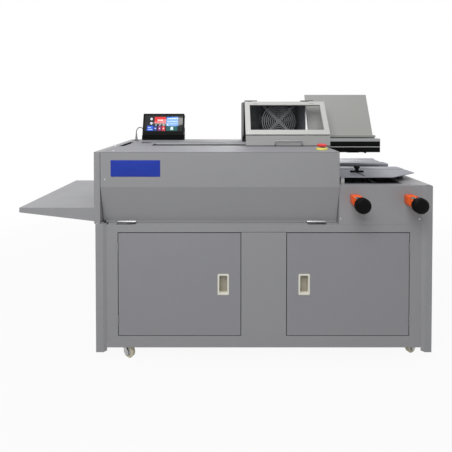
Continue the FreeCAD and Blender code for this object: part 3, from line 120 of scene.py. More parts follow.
class Shader:
    """A tree of shader nodes, and helpers that add nodes to it and join them."""

    def __init__(self, tree):
        self.tree = tree

    def add(self, kind, settings=None, values=None):
        """Adds a node with those settings, and with values or links at its inputs."""
        node = self.tree.nodes.new(kind)
        for key, value in (settings or {}).items():
            setattr(node, key, value)
        for key, value in (values or {}).items():
            self.join(node.inputs[key], value)
        return node

    def join(self, socket, value):
        """Links a wire or an output to an input socket, or writes a plain value on it."""
        if isinstance(value, Wire):
            self.tree.links.new(value.socket, socket)
        elif isinstance(value, bpy.types.NodeSocket):
            self.tree.links.new(value, socket)
        else:
            socket.default_value = value

    def ray(self, kind):
        """1 for Camera, Glossy or Transmission rays, as kind says, and 0 for all others."""
        return Wire(self, self.add("ShaderNodeLightPath").outputs[f"Is {kind} Ray"])


class Finish(Shader):
    """One material: a Principled shader, and the patterns that feed it."""

    def __init__(self, name, colour, roughness, **fixed):
        self.material = bpy.data.materials.new(name)
        self.material.use_nodes = True
        super().__init__(self.material.node_tree)
        self.principled = self.tree.nodes["Principled BSDF"]
        self.colour = colour
        self.set("Base Color", (*colour, 1))
        self.set("Roughness", roughness)
        for socket, value in fixed.items():
            self.set(socket.replace("_", " "), value)

    def set(self, socket, value):
        """Feeds one input of the Principled shader."""
        self.join(self.principled.inputs[socket], value)

    def position(self):
        """Object coordinates as three wires, in metres."""
        point = self.add("ShaderNodeTexCoord").outputs["Object"]
        split = self.add("ShaderNodeSeparateXYZ", None, {0: point})
        return [Wire(self, s) for s in split.outputs]

    def noise(self, cells, detail, stretch=(1, 1, 1)):
        """Fractal noise of that many cells to the metre, stretched along the axes."""
        point = self.add("ShaderNodeTexCoord").outputs["Object"]
        turned = self.add("ShaderNodeMapping", None,
                          {"Vector": point, "Scale": [1 / s for s in stretch]})
        node = self.add("ShaderNodeTexNoise", None,
                        {"Vector": turned.outputs[0], "Scale": cells, "Detail": detail})
        return Wire(self, node.outputs[0])

    def mix(self, mask, low, high):
        """Colour low where mask is 0 and high where it is 1."""
        node = self.add("ShaderNodeMix", dict(data_type="RGBA"))
        factor, first, second = 0, 6, 7  # a Mix node's inputs for colours
        for key, value in ((factor, mask), (first, low), (second, high)):
            if isinstance(value, tuple) and len(value) == 3:
                value = (*value, 1)
            self.join(node.inputs[key], value)
        return node.outputs[2]

    def shade(self, mask, amount):
        """The base colour, darker or lighter by amount where mask is 0 or 1."""
        low = tuple(c * (1 - amount) for c in self.colour)
        high = tuple(min(1, c * (1 + amount)) for c in self.colour)
        return self.mix(mask, low, high)

    def mottle(self, cells=3.5, detail=5, amount=0.03):
        """The base colour, a little uneven."""
        return self.shade(self.noise(cells, detail), amount)

    def mark(self, mask, colour, under=None):
        """Lays colour over the mottled base, or over the colour under, where mask is 1."""
        marked = self.mix(mask, self.mottle() if under is None else under, colour)
        self.set("Base Color", marked)
        return marked

    def bump(self, height, distance):
        """A relief of that height pattern, distance deep."""
        node = self.add("ShaderNodeBump", None, {"Distance": distance, "Height": height})
        self.set("Normal", node.outputs[0])


def srgb(r, g, b):
    """A colour given as 0 to 255 display values, in linear light."""
    return tuple(((v / 255 + 0.055) / 1.055) ** 2.4 if v > 10 else v / 255 / 12.92
                 for v in (r, g, b))


# --- plain finishes -------------------------------------------------------------------------------


def powder_coat(name, colour, roughness=0.42, shine=0.5):
    """Powder coat: a fine orange peel, a slow mottle in the colour and fingermarks in the gloss."""
    f = Finish(name, colour, roughness, Specular_IOR_Level=shine)
    f.set("Base Color", f.shade(f.noise(3.5, 5) * 0.65 + f.noise(260, 2) * 0.35, 0.03))
    fingermarks = f.noise(9, 6).smooth(0.45, 0.75)
    f.set("Roughness", roughness + 0.10 * fingermarks + 0.05 * f.noise(700, 2))
    f.bump(f.noise(520, 2), 0.00004)
    return f


def brushed(name, colour, roughness=0.32, metallic=1.0, strength=0.08):
    """Brushed metal: fine streaks along X in the colour, the gloss and the surface."""
    f = Finish(name, colour, roughness, Metallic=metallic)
    streaks = f.noise(1400, 3, (30, 1, 1))
    f.set("Base Color", f.shade(streaks * 0.6 + f.noise(14, 4) * 0.4, strength))
    f.set("Roughness", roughness - 0.06 + 0.16 * streaks)
    f.bump(streaks, 0.00003)
    return f


def moulded(name, colour, roughness=0.5, grain=900, depth=0.00005, shine=0.5):
    """Moulded plastic: a fine spark-eroded grain and a little dust in the colour."""
    f = Finish(name, colour, roughness, Specular_IOR_Level=shine)
    f.set("Base Color", f.mottle(40, 5, 0.12))
    f.set("Roughness", roughness - 0.05 + 0.12 * f.noise(grain, 3))
    f.bump(f.noise(grain, 2), depth)
    return f


GREY = srgb(143, 143, 145)
BLACK = srgb(11, 11, 11)
SCREW_GREY = srgb(190, 190, 192)
BLACK_SHINE = 0.06  # black parts reflect little of the white room

paint = powder_coat("grey_powder_coat", GREY)
# the deck's coat is the body's grey made darker, as painted shade against the stronger top light on
# it
shaded_deck_paint = powder_coat("deck_shaded_powder_coat", srgb(134, 134, 139), roughness=0.56, shine=0.35)
# the tray's coat is the body's grey made lighter, as painted light for the highlight on its front
# rim
lit_tray_paint = powder_coat("tray_lit_powder_coat", srgb(147, 147, 150))
# the guide's coat is a warmer grey of its own, and lighter than the body's as painted light for the
# top light on the leaning plate
warm_lit_paint = powder_coat("guide_warm_lit_powder_coat", srgb(151, 151, 148))
dark_paint = powder_coat("dark_powder_coat", srgb(62, 62, 66), roughness=0.5)
black_paint = powder_coat("black_powder_coat", BLACK, roughness=0.45, shine=BLACK_SHINE)
steel = brushed("brushed_steel", srgb(176, 176, 178))
bright = brushed("bright_screws", SCREW_GREY, roughness=0.25)
ground = brushed("ground_steel", srgb(128, 129, 137), roughness=0.45, metallic=0.5)
guard_wire = brushed("guard_wire", srgb(168, 168, 172), roughness=0.3, strength=0.03)
cap_metal = brushed("jaw_cap_aluminium", srgb(150, 151, 153), roughness=0.42)
bronze = brushed("dark_bronze", srgb(92, 84, 72), roughness=0.4)
handle_steel = brushed("handle_steel", srgb(158, 158, 160), roughness=0.26, strength=0.14)
black_plastic = moulded("black_plastic", BLACK, shine=BLACK_SHINE)
grey_plastic = moulded("grey_plastic", srgb(120, 120, 122))
ivory = moulded("ivory_plastic", srgb(224, 221, 208), roughness=0.36, depth=0.00002)
red_plastic = moulded("red_plastic", srgb(206, 30, 34), roughness=0.28, depth=0.00001)
rubber = moulded("black_rubber", srgb(30, 30, 31), roughness=0.72, grain=1300)


# --- finishes of single parts ---------------------------------------------------------------------


def door_finish(node):
    """Grey powder coat, with painted shade on the folded rim and its bend, for the shade in the gap
    round the door.
    """
    f = powder_coat(node + "_paint", srgb(137, 137, 141))
    x, _, z = f.position()
    low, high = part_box(node)
    rim = 0.0011
    face = x.within(low.x + rim, high.x - rim) * z.within(low.z + rim, high.z - rim)
    # the near-black on the rim is painted shade, standing in for the shade in the gap round the
    # door
    f.mark(1 - face, srgb(22, 22, 23))
    return f


SIDE_SCREWS = [(y, z) for y in (35, 270, 505) for z in (110, 560)]
SIDE_SCREW_RADIUS = 0.0045


def right_side_finish():
    """Grey powder coat, with six flush screws in the outer face: bright heads, each in a ring of
    painted shade and with a socket of painted shade, for the shade in the gap and the recess."""
    f = powder_coat("right_side_paint", GREY)
    x, y, z = f.position()
    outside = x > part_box("right_side_panel")[1].x - 0.0005
    ring_inside, ring_outside, socket_radius = 0.0039, 0.0048, 0.0014
    heads, ring_and_socket_shade = 0, 0
    for at_y, at_z in SIDE_SCREWS:
        _, screw_y, screw_z = place(0, at_y, at_z)
        off = ((y - screw_y) ** 2 + (z - screw_z) ** 2) ** 0.5
        heads = (off < SIDE_SCREW_RADIUS) + heads
        ring_and_socket_shade = off.within(ring_inside, ring_outside) + off.within(0, socket_radius) + ring_and_socket_shade
    colour = f.mark(heads * outside, SCREW_GREY)
    # the dark rings and sockets are painted shade, for the shade in the gap round each head and in
    # its recess
    f.mark(ring_and_socket_shade * outside, srgb(58, 58, 60), under=colour)
    f.set("Metallic", heads * outside * 0.7)
    return f


def front_finish():
    """Grey powder coat, with a dark seam over the strip between the doors."""
    f = powder_coat("front_panel_paint", GREY)
    x, _, z = f.position()
    left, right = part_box("left_door")[1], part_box("right_door")[0]
    seam_low, seam_high = left.z + 0.0016, left.z + 0.0030
    f.mark(z.within(seam_low, seam_high) * x.within(left.x, right.x), srgb(40, 40, 42))
    return f


def hood_finish():
    """Dark powder coat outside, and the same coat painted paler on the walls inside, as painted
    light.
    """
    f = powder_coat("hood_powder_coat", srgb(62, 62, 66), roughness=0.5)
    x, y, z = f.position()
    low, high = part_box("fan_housing")
    skin = 0.001
    rear_wall = place(0, 452, 0)[1]
    inside = x.within(low.x + skin, high.x - skin) * (y < rear_wall) * (z < high.z - skin)
    # the paler colour inside is painted light on the shaded inner walls, not a different coat
    f.mark(inside, srgb(104, 104, 112))
    return f


def lip_finish():
    """Warm grey powder coat, with painted shadow along the foot, for the shadow gap under the lip.
    """
    f = powder_coat("lip_powder_coat", srgb(160, 160, 159))
    foot_shadow_high = 0.0035
    foot_shadow = f.position()[2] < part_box("lid_lip")[0].z + foot_shadow_high
    # the dark band at the foot is painted shadow, for the shadow gap under the lip
    f.mark(foot_shadow, srgb(44, 44, 46))
    return f


def belt_finish():
    """Grey urethane belt, with painted shadow along its lower edge."""
    f = moulded("grey_belt", srgb(172, 174, 176), roughness=0.55)
    edge_shadow_high = 0.006
    edge = f.position()[2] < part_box("drive_belt")[0].z + edge_shadow_high
    # the dark lower edge is painted shadow, for the shadow along the belt's foot
    f.mark(edge, srgb(26, 26, 28), under=f.mottle(40, 5, 0.08))
    return f


def beam_finish():
    """Satin aluminium, with a dark band of painted shade along the beam's front, for the shade
    inside a slot.
    """
    f = brushed("satin_aluminium", srgb(160, 161, 166), roughness=0.42, metallic=0.7)
    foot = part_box("carriage_beam")[0].z
    slot_shade_low, slot_shade_high = foot + 0.023, foot + 0.038
    # the dark band is painted shade, standing in for the shade inside a slot in the beam's face
    f.mark(f.position()[2].within(slot_shade_low, slot_shade_high), srgb(24, 24, 26),
           under=f.mottle(14, 4, 0.06))
    return f


def lid_finish():
    """Silver enamel on the lid's rim, and black hinge knuckles along its top."""
    f = powder_coat("silver_enamel", srgb(181, 181, 178), roughness=0.34)
    knuckle_high = 0.0045
    knuckle = f.position()[2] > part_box("lid_frame")[1].z - knuckle_high
    f.mark(knuckle, srgb(46, 46, 48))
    return f


def jaw_finish():
    """Black jaw with a bare aluminium bead along its front face."""
    f = moulded("black_jaw", BLACK, roughness=0.4, shine=0.05)
    _, y, z = f.position()
    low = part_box("front_jaw")[0]
    bead_low, bead_high, bead_deep = low.z + 0.0308, low.z + 0.0332, low.y + 0.003
    bead = z.within(bead_low, bead_high) * (y < bead_deep)
    f.mark(bead, srgb(196, 196, 198), under=BLACK)
    f.set("Metallic", bead * 0.8)
    return f


def hinge_finish():
    """Bright plated hinges under the cover with painted shadow on the lower leaf, black ones
    on the lid and painted ones on the doors."""
    f = Finish("hinge_metal", srgb(205, 205, 206), 0.36)
    z = f.position()[2]
    above_doors, above_leaf_shadow, under_lid = 0.58, 0.5925, 1.06  # heights between the kinds of hinge
    # the dark band on the lower leaf is painted shadow, for the shadow line under the cover hinges
    leaf_shadow = z.within(above_doors, above_leaf_shadow)
    plated = f.mix(z > under_lid, f.colour, srgb(40, 40, 42))
    f.mark(z < above_doors, GREY, under=f.mix(leaf_shadow, plated, srgb(50, 50, 52)))
    f.set("Metallic", z.within(above_leaf_shadow, under_lid) * 0.4)
    grain = f.noise(500, 3)
    f.set("Roughness", 0.32 + 0.14 * grain)
    f.bump(grain, 0.00003)
    return f


def stop_finish():
    """The yellow plate, with a pale grey collar on it."""
    f = Finish("stop_yellow", srgb(232, 222, 96), 0.42)
    collar_high = 0.0017
    collar = f.position()[2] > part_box("stop_base")[1].z - collar_high
    f.mark(collar, srgb(168, 168, 166), under=srgb(232, 224, 108))
    f.set("Roughness", 0.38 + 0.1 * f.noise(300, 3))
    f.bump(f.noise(800, 2), 0.00002)
    return f


def indicator_finish():
    """Orange plastic, a little uneven in colour."""
    f = moulded("orange_plastic", srgb(240, 92, 26), roughness=0.34, depth=0.00003)
    f.set("Base Color", f.mix(f.noise(30, 4), srgb(226, 78, 16), srgb(246, 104, 36)))
    return f


def wheel_finish(node):
    """Black moulded handwheel with turned rings, and a bare spindle behind it."""
    f = Finish(node + "_finish", BLACK, 0.42, Specular_IOR_Level=BLACK_SHINE)
    x, y, z = f.position()
    low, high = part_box(node)
    middle = (low + high) / 2
    radius = ((x - middle.x) ** 2 + (z - middle.z) ** 2) ** 0.5
    spindle_radius, wheel_deep = 0.0065, 0.036
    spindle = (radius < spindle_radius) * (y > low.y + wheel_deep)
    f.mark(spindle, srgb(160, 160, 162), under=BLACK)
    f.set("Metallic", spindle)
    f.set("Roughness", 0.4 + 0.14 * f.noise(600, 3))
    ring_phase = 900  # radians to the metre, a ring every 7 mm
    f.bump((radius * ring_phase).sine() * 0.5 + f.noise(900, 2), 0.00006)
    return f


def clear_sheet():
    """Clear smoked acrylic, with a few hair scratches in its gloss."""
    f = Finish("clear_acrylic", srgb(70, 74, 78), 0.06, Specular_IOR_Level=0.3)
    f.set("Alpha", 0.05 + 0.03 * f.noise(60, 6).smooth(0.4, 0.8))
    f.set("Roughness", 0.05 + 0.06 * f.noise(260, 5, (1, 12, 1)))
    return f


def table_base_finish():
    """Supports under the table, painted dark as painted shade for the shade under the plates, with
    the front cross bar's end left bright.
    """
    # the dark colour is painted shade, standing in for the shade under the table plates
    f = Finish("table_supports", srgb(52, 52, 54), 0.45)
    x, y, _ = f.position()
    end_x, end_y, _ = place(361, 215, 0)
    bright_end = (x < end_x) * (y < end_y)
    f.mark(bright_end, srgb(176, 176, 176), under=f.mottle(20, 4, 0.1))
    f.set("Metallic", bright_end * 0.6)
    grain = f.noise(700, 3)
    f.set("Roughness", 0.38 + 0.14 * grain)
    f.bump(grain, 0.00002)
    return f


def pull_finish(node):
    """Ivory plastic, darker inside the recess with painted shade."""
    f = moulded(node + "_ivory", srgb(224, 221, 208), roughness=0.36, depth=0.00002)
    recess_mouth, recess_back = 0.004, 0.02
    deep = (f.position()[1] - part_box(node)[0].y).smooth(recess_mouth, recess_back)
    # the darker recess is painted shade, standing in for the shade inside the recess
    f.mark(deep, srgb(158, 152, 136), under=f.mottle(40, 5, 0.06))
    return f


def tyre_finish(node):
    """Cream nylon tyre round a grey hub, marked by the distance from the wheel's middle."""
    f = Finish(node + "_finish", srgb(196, 190, 168), 0.5)
    x, y, z = f.position()
    low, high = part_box(node)
    middle = (low + high) / 2
    radius = ((x - middle.x) ** 2 + (y - middle.y) ** 2 + (z - middle.z) ** 2) ** 0.5
    hub_radius = 0.0195
    f.mark(radius > hub_radius, srgb(206, 200, 176), under=srgb(150, 150, 148))
    f.set("Roughness", 0.42 + 0.2 * f.noise(300, 4))
    f.bump(f.noise(500, 3), 0.00008)
    return f


SCREEN_KEYS = [  # u and v of two corners, from 0 to 1 over the lit part, and the key's colour
    (0.237, 0.54, 0.59, 1.0, (196, 44, 48)), (0.616, 0.34, 0.98, 1.0, (44, 116, 206)),
    (0.616, 0.0, 0.96, 0.34, (18, 84, 84)), (0.01, 0.0, 0.21, 0.36, (40, 88, 200)),
    (0.23, 0.0, 0.316, 0.34, (34, 56, 132)), (0.353, 0.0, 0.453, 0.34, (128, 46, 104)),
    (0.474, 0.0, 0.58, 0.34, (188, 52, 62)),
    (0.33, 0.74, 0.50, 0.80, (238, 226, 214)), (0.63, 0.87, 0.97, 0.90, (206, 226, 244)),
    (0.63, 0.655, 0.97, 0.68, (176, 206, 240)), (0.63, 0.50, 0.97, 0.52, (160, 196, 236)),
    (0.04, 0.08, 0.18, 0.12, (206, 222, 246)), (0.04, 0.22, 0.14, 0.26, (206, 222, 246)),
    (0.74, 0.07, 0.84, 0.11, (208, 226, 220)),
]
SCREEN_DOTS = [  # u, v, radius in widths of the lit part, and colour
    (0.14, 0.855, 0.04, (190, 196, 204)), (0.14, 0.54, 0.04, (190, 196, 204)),
    (0.29, 0.42, 0.03, (126, 142, 150)), (0.41, 0.42, 0.03, (140, 150, 146)),
    (0.526, 0.42, 0.03, (150, 146, 150)), (0.273, 0.17, 0.02, (206, 214, 236)),
    (0.403, 0.17, 0.02, (230, 206, 222)), (0.527, 0.17, 0.02, (240, 214, 214)),
    (0.79, 0.19, 0.045, (208, 226, 220)), (0.66, 0.42, 0.02, (230, 240, 246)),
]


def screen_finish():
    """The lit screen: a dark glass with plain coloured keys, bars and round icons."""
    f = Finish("screen_glass", srgb(8, 9, 14), 0.12)
    x, _, z = f.position()
    low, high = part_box("touch_screen")
    wide, tall = high.x - low.x, high.z - low.z
    left, foot, lit_wide, lit_tall = 0.065 * wide, 0.03 * tall, 0.83 * wide, 0.86 * tall
    u = (x - low.x - left) / lit_wide
    v = (z - low.z - foot) / lit_tall
    colour = f.mix(u.within(0.0, 1.0) * v.within(0.0, 1.0), srgb(3, 3, 4), srgb(6, 8, 16))
    for u0, v0, u1, v1, key in SCREEN_KEYS:
        colour = f.mix(u.within(u0, u1) * v.within(v0, v1), colour, srgb(*key))
    v_share = 0.44  # a step of v is this much of a step of u
    for u0, v0, radius, dot in SCREEN_DOTS:
        off = (u - u0) ** 2 + ((v - v0) * v_share) ** 2
        colour = f.mix(off < radius * radius, colour, srgb(*dot))
    f.set("Base Color", colour)
    f.set("Emission Color", colour)
    f.set("Emission Strength", 0.45)
    f.set("Roughness", 0.1 + 0.05 * f.noise(30, 4))
    return f


def plate_finish():
    """Blue enamel on the nameplate, with faint streaks across it."""
    f = Finish("blue_enamel", srgb(34, 56, 158), 0.4, Specular_IOR_Level=0.2)
    streaks = f.noise(300, 3, (20, 1, 1))
    f.set("Base Color", f.mix(streaks, srgb(33, 54, 152), srgb(39, 62, 164)))
    f.set("Roughness", 0.32 + 0.1 * f.noise(40, 5))
    f.bump(f.noise(700, 2), 0.00002)
    return f


def glue_finish():
    """Hot-melt glue: amber, glossy and a little uneven in colour."""
    f = Finish("amber_glue", srgb(214, 176, 104), 0.2)
    f.set("Base Color", f.mix(f.noise(25, 4), srgb(196, 150, 78), srgb(226, 196, 130)))
    f.set("Roughness", 0.14 + 0.16 * f.noise(60, 4))
    return f


WHEELS = ("left_front_wheel", "right_front_wheel", "left_rear_wheel", "right_rear_wheel")
FINISHES = {
    right_side_finish(): ["right_side_panel"],
    paint: ["left_side_panel", "upper_left_cover", "rear_panel", "apron_panel", "front_cover"],
    front_finish(): ["front_panel"],
    door_finish("left_door"): ["left_door"],
    door_finish("right_door"): ["right_door"],
    shaded_deck_paint: ["deck_plate"],
    lit_tray_paint: ["side_tray"],
    warm_lit_paint: ["book_guide"],
    lip_finish(): ["lid_lip"],
    dark_paint: ["base_frame"],
    hood_finish(): ["fan_housing"],
    black_paint: ["carriage_body", "carriage_motor", "milling_motor", "panel_stand"],
    steel: ["milling_cutter", "caster_mounts", "left_front_fork", "right_front_fork", "glue_tank",
            "glue_roller"],
    ground: ["table_plates", "front_nip_jaw", "rear_nip_jaw"],
    beam_finish(): ["carriage_beam"],
    cap_metal: ["jaw_cap"],
    bronze: ["drive_pulley", "idler_pulley"],
    belt_finish(): ["drive_belt"],
    table_base_finish(): ["table_base"],
    black_plastic: ["fan_frame", "fan_rotor", "panel_housing", "cover_guide", "guide_knob",
                    "mains_inlet"],
    guard_wire: ["fan_guard"],
    handle_steel: ["lid_handle"],
    grey_plastic: ["cable_gland"],
    pull_finish("left_door_pull"): ["left_door_pull"],
    pull_finish("right_door_pull"): ["right_door_pull"],
    red_plastic: ["stop_button"],
    rubber: ["panel_cable"],
    lid_finish(): ["lid_frame"],
    jaw_finish(): ["front_jaw"],
    hinge_finish(): ["hinges"],
    stop_finish(): ["stop_base"],
    indicator_finish(): ["position_indicators"],
    wheel_finish("left_handwheel"): ["left_handwheel"],
    wheel_finish("right_handwheel"): ["right_handwheel"],
    clear_sheet(): ["lid_pane"],
    screen_finish(): ["touch_screen"],
    **{tyre_finish(wheel): [wheel] for wheel in WHEELS},
}


# --- finishes and edges on the CAD parts ----------------------------------------------------------


def dress(thing, finish):
    """Gives an object one finish."""
    thing.data.materials.clear()
    thing.data.materials.append(finish.material)


# parts of folded sheet and bar, whose faces are shaded flat
SHEETS = {"left_side_panel", "right_side_panel", "upper_left_cover", "front_panel", "rear_panel",
          "apron_panel", "front_cover", "deck_plate", "side_tray", "left_door", "right_door",
          "base_frame", "book_guide", "lid_lip", "table_plates", "table_base", "panel_stand",
          "panel_housing", "jaw_cap", "lid_frame"}
# width of the rounding on a part's edges, where it isn't the usual one; 0 leaves them sharp
USUAL_EDGE = 0.0004
EDGES = {"fan_guard": 0, "fan_housing": 0, "lid_pane": 0.0002, "touch_screen": 0.0002,
         "side_tray": 0.0006, "front_cover": 0.0008, "left_door": 0.0012, "right_door": 0.0012,
         "left_door_pull": 0.001, "right_door_pull": 0.001}
FLAT_CREASE, ROUND_CREASE = math.radians(8), math.radians(32)
for finish, names in FINISHES.items():
    for name in names:
        thing = nodes[name]
        dress(thing, finish)
        flat = name in SHEETS
        faces = thing.data.polygons
        faces.foreach_set("use_smooth", np.full(len(faces), not flat))
        weld = thing.modifiers.new("weld", "WELD")
        weld.merge_threshold = 0.000002
        width = EDGES.get(name, USUAL_EDGE)
        if width:
            edge = thing.modifiers.new("edge", "BEVEL")
            edge.width, edge.segments, edge.limit_method = width, 2, "ANGLE"
            edge.angle_limit = FLAT_CREASE if flat else ROUND_CREASE
            edge.harden_normals = not flat
            edge.use_clamp_overlap = True
        else:
            edge = thing.modifiers.new("edge", "EDGE_SPLIT")
            edge.split_angle = ROUND_CREASE


# --- makers of new surfaces -----------------------------------------------------------------------


def link(name, data):
    """A new object of that data, in the scene."""
    thing = bpy.data.objects.new(name, data)
    bpy.context.scene.collection.objects.link(thing)
    return thing


def surface(name, grids, finish, body):
    """Meshes arrays of points: each grid is rows by columns by xyz, its last row joins its first,
    and there is a face between four neighbours."""
    points, faces, base = [], [], 0
    for grid in grids:
        rows, columns = grid.shape[:2]
        index = np.arange(rows * columns).reshape(rows, columns) + base
        index = np.vstack([index, index[:1]])
        quads = np.stack([index[:-1, :-1], index[1:, :-1], index[1:, 1:], index[:-1, 1:]], -1)
        points.append(grid.reshape(-1, 3))
        faces.append(quads.reshape(-1, 4))
        base += rows * columns
    mesh = bpy.data.meshes.new(name)
    mesh.from_pydata(np.concatenate(points), [], np.concatenate(faces).tolist())
    shape = bmesh.new()
    shape.from_mesh(mesh)
    bmesh.ops.remove_doubles(shape, verts=shape.verts, dist=1e-6)
    bmesh.ops.recalc_face_normals(shape, faces=shape.faces)
    shape.to_mesh(mesh)
    shape.free()
    mesh.polygons.foreach_set("use_smooth", np.ones(len(mesh.polygons), bool))
    mesh.set_sharp_from_angle(angle=math.radians(35))
    thing = link(name, mesh)
    dress(thing, finish)
    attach(thing, body)
    return thing


def facing(normal):
    """A 3x3 whose rows are across, up and out for a surface with that normal."""
    out = np.array(normal, float) / np.linalg.norm(normal)
    across = np.cross((0, 0, 1), out)
    if np.linalg.norm(across) < 1e-6:  # the surface is level, and its up is along Y
        across = np.cross((0, 1, 0), out)
    across /= np.linalg.norm(across)
    return np.array([across, np.cross(out, across), out])


def screw_head(radius, high):
    """A pan head with a cross recess: height high * sqrt(1 - s^4) over the radius share s, less a
    cross of depth 0.55 high where |x| or |y| is under 0.13 of the radius, within 0.6 of it."""
    angle = np.linspace(0, 2 * math.pi, 24, endpoint=False)[:, None]
    share = np.array([1, 1, 0.93, 0.8, 0.62, 0.58, 0.42, 0.2, 0.0])[None, :]
    x, y = share * np.cos(angle), share * np.sin(angle)
    z = np.sqrt(np.clip(1 - share ** 4, 0, 1)) + 0 * angle
    recess = (np.minimum(abs(x), abs(y)) < 0.13) & (share < 0.6)
    z = np.where(recess, z - 0.55, z)
    z[:, 0] = -0.3  # the rim goes a little into the sheet
    return np.stack([x * radius, y * radius, z * high], -1)


def screws(name, places, normal, radius, body, finish=bright):
    """Screw heads at those places, all facing along normal."""
    head = screw_head(radius, radius * 0.45) @ facing(normal)
    return surface(name, [head + p for p in places], finish, body)


def rounded_plate(width, tall, radius, thick, edge):
    """A plate with rounded corners and a quarter-round edge: the outline is a rectangle grown by
    an arc at each corner, and the section goes up the wall, round the edge by sin and cos, and in
    to the middle."""
    steps = np.linspace(0, math.pi / 2, 7)
    corners = [(1, 1, 0), (-1, 1, 1), (-1, -1, 2), (1, -1, 3)]  # sides in x and y, and quarter
    core = np.concatenate([
        np.tile([sx * (width / 2 - radius), sy * (tall / 2 - radius)], (len(steps), 1))
        for sx, sy, quarter in corners])
    arc = np.concatenate([
        np.stack([np.cos(steps + quarter * math.pi / 2), np.sin(steps + quarter * math.pi / 2)], -1)
        for sx, sy, quarter in corners])
    turn = np.linspace(0, math.pi / 2, 4)
    reach = np.concatenate([[0, radius], radius - edge + edge * np.cos(turn), [0]])
    height = np.concatenate([[0, 0], thick - edge + edge * np.sin(turn), [thick]])
    share = np.concatenate([[0], np.ones(len(reach) - 2), [0]])
    flat = core[:, None] * share[None, :, None] + arc[:, None] * (reach * share)[None, :, None]
    heights = np.broadcast_to(height[None, :, None], flat.shape[:2] + (1,))
    return np.concatenate([flat, heights], -1)


def turned_shape(profile, segments):
    """A profile of radius and height carried round an axis: (r cos a, r sin a, h)."""
    angle = np.linspace(0, 2 * math.pi, segments, endpoint=False)[:, None]
    r, h = np.array(profile, float).T
    return np.stack([r * np.cos(angle), r * np.sin(angle), h + 0 * angle], -1)


# --- nameplate, screws and clips ------------------------------------------------------------------

# the nameplate, left bare, on the cover's face
face_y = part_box("front_cover")[0].y
plate_middle = np.array([place(-537.2, 0, 0)[0], face_y, 0.830])
blank = rounded_plate(0.207, 0.069, radius=0.002, thick=0.0012, edge=0.0006)
surface("nameplate", [blank @ facing((0, -1, 0)) + plate_middle], plate_finish(), "front_cover")

# the lid's face leans back at this slope, and its screws lie across and up it from its left foot
LID_SLOPE = math.radians(57.6)
LID_UP = np.array([0, math.cos(LID_SLOPE), math.sin(LID_SLOPE)])
LID_OUT = np.array([0, -math.sin(LID_SLOPE), math.cos(LID_SLOPE)])
LID_SCREWS = [(12.5, 13), (202, 19), (392, 13), (12.5, 179), (202, 174), (392, 179)]
DECK_SCREWS = [(-150, 352), (-135, 352), (-640, 30), (-640, 500), (-300, 500), (-690, 200),
               (-690, 440), (0, 500)]
REAR_SCREWS = [(x, z) for x in (-600, -300, 0, 300, 600) for z in (125, 350, 575)]
APRON_SCREWS = [323.7, 657]

rear_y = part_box("rear_panel")[1].y
left_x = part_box("left_side_panel")[0].x
apron_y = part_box("apron_panel")[0].y
lid_places = [place(-64 + across, 197, 956) + LID_UP * up / 1000 for across, up in LID_SCREWS]
screws("lid_screws", lid_places, LID_OUT, 0.003, "hood_lid")
screws("latch_screw", [np.array([place(-666, 0, 0)[0], face_y, 0.782])], (0, -1, 0), 0.0045,
       "front_cover", steel)
screws("post_screw", [place(-698, 0, 599)], (0, -1, 0), 0.003, "cabinet")
screws("deck_screws", [place(x, y, 899) for x, y in DECK_SCREWS], (0, 0, 1), 0.004, "cabinet")
rear_places = [np.array([place(x, 0, 0)[0], rear_y, z / 1000]) for x, z in REAR_SCREWS]
screws("rear_screws", rear_places, (0, 1, 0), 0.0045, "cabinet")
side_places = [np.array([left_x, place(0, y, 0)[1], z / 1000]) for y, z in SIDE_SCREWS]
screws("left_side_screws", side_places, (-1, 0, 0), SIDE_SCREW_RADIUS, "cabinet")

# two clips at the operator panel's right side, which leans back
low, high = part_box("panel_housing")
PANEL_LEAN = math.tan(math.radians(15))
CLIP_PROFILE = [(0, 0), (0.0035, 0), (0.0035, 0.002), (0.0045, 0.0025), (0.0045, 0.006),
                (0.0035, 0.007), (0, 0.007)]
clip = turned_shape(CLIP_PROFILE, 20) @ facing((1, 0, 0))
surface("panel_clips", [clip + np.array([high.x, low.y + up * PANEL_LEAN + 0.015, low.z + up])
                        for up in (0.112, 0.013)], bright, "cabinet")
screws("apron_screws", [np.array([place(x, 0, 0)[0], apron_y, 0.614]) for x in APRON_SCREWS],
       (0, -1, 0), 0.0035, "cabinet")

# --- counters of the position indicators ----------------------------------------------------------

COUNTER_NORMAL = (0, -17, 21)  # square to the indicator's sloping face
DIGITS_PROUD = 0.0007  # the digits' middle plane, over the foot of the glass


def counter_digits(name, text, middle):
    """Ivory digits as a mesh, lying on a counter's glass."""
    font = bpy.data.curves.new(name, "FONT")
    font.body, font.size, font.align_x, font.align_y = text, 0.009, "CENTER", "CENTER"
    font.space_character, font.extrude = 1.25, 0.0001
    flat_text = bpy.data.objects.new("digits", font)
    mesh = bpy.data.meshes.new_from_object(flat_text)
    mesh.name = name
    bpy.data.objects.remove(flat_text)
    points = np.empty(len(mesh.vertices) * 3)
    mesh.vertices.foreach_get("co", points)
    lifted = points.reshape(-1, 3) + (0, 0, DIGITS_PROUD)
    mesh.vertices.foreach_set("co", (lifted @ facing(COUNTER_NORMAL) + middle).ravel())
    thing = link(name, mesh)
    dress(thing, ivory)
    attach(thing, "cabinet")


for word, x, digits in (("left", 383, "0215"), ("right", 611, "0340")):
    middle = place(x, -20.6, 711.4)
    glass = rounded_plate(0.022, 0.011, radius=0.001, thick=0.0006, edge=0.0003)
    surface(f"{word}_counter", [glass @ facing(COUNTER_NORMAL) + middle], black_plastic, "cabinet")
    counter_digits(f"{word}_digits", digits, middle)

# --- glue in the two wells of the tank ------------------------------------------------------------


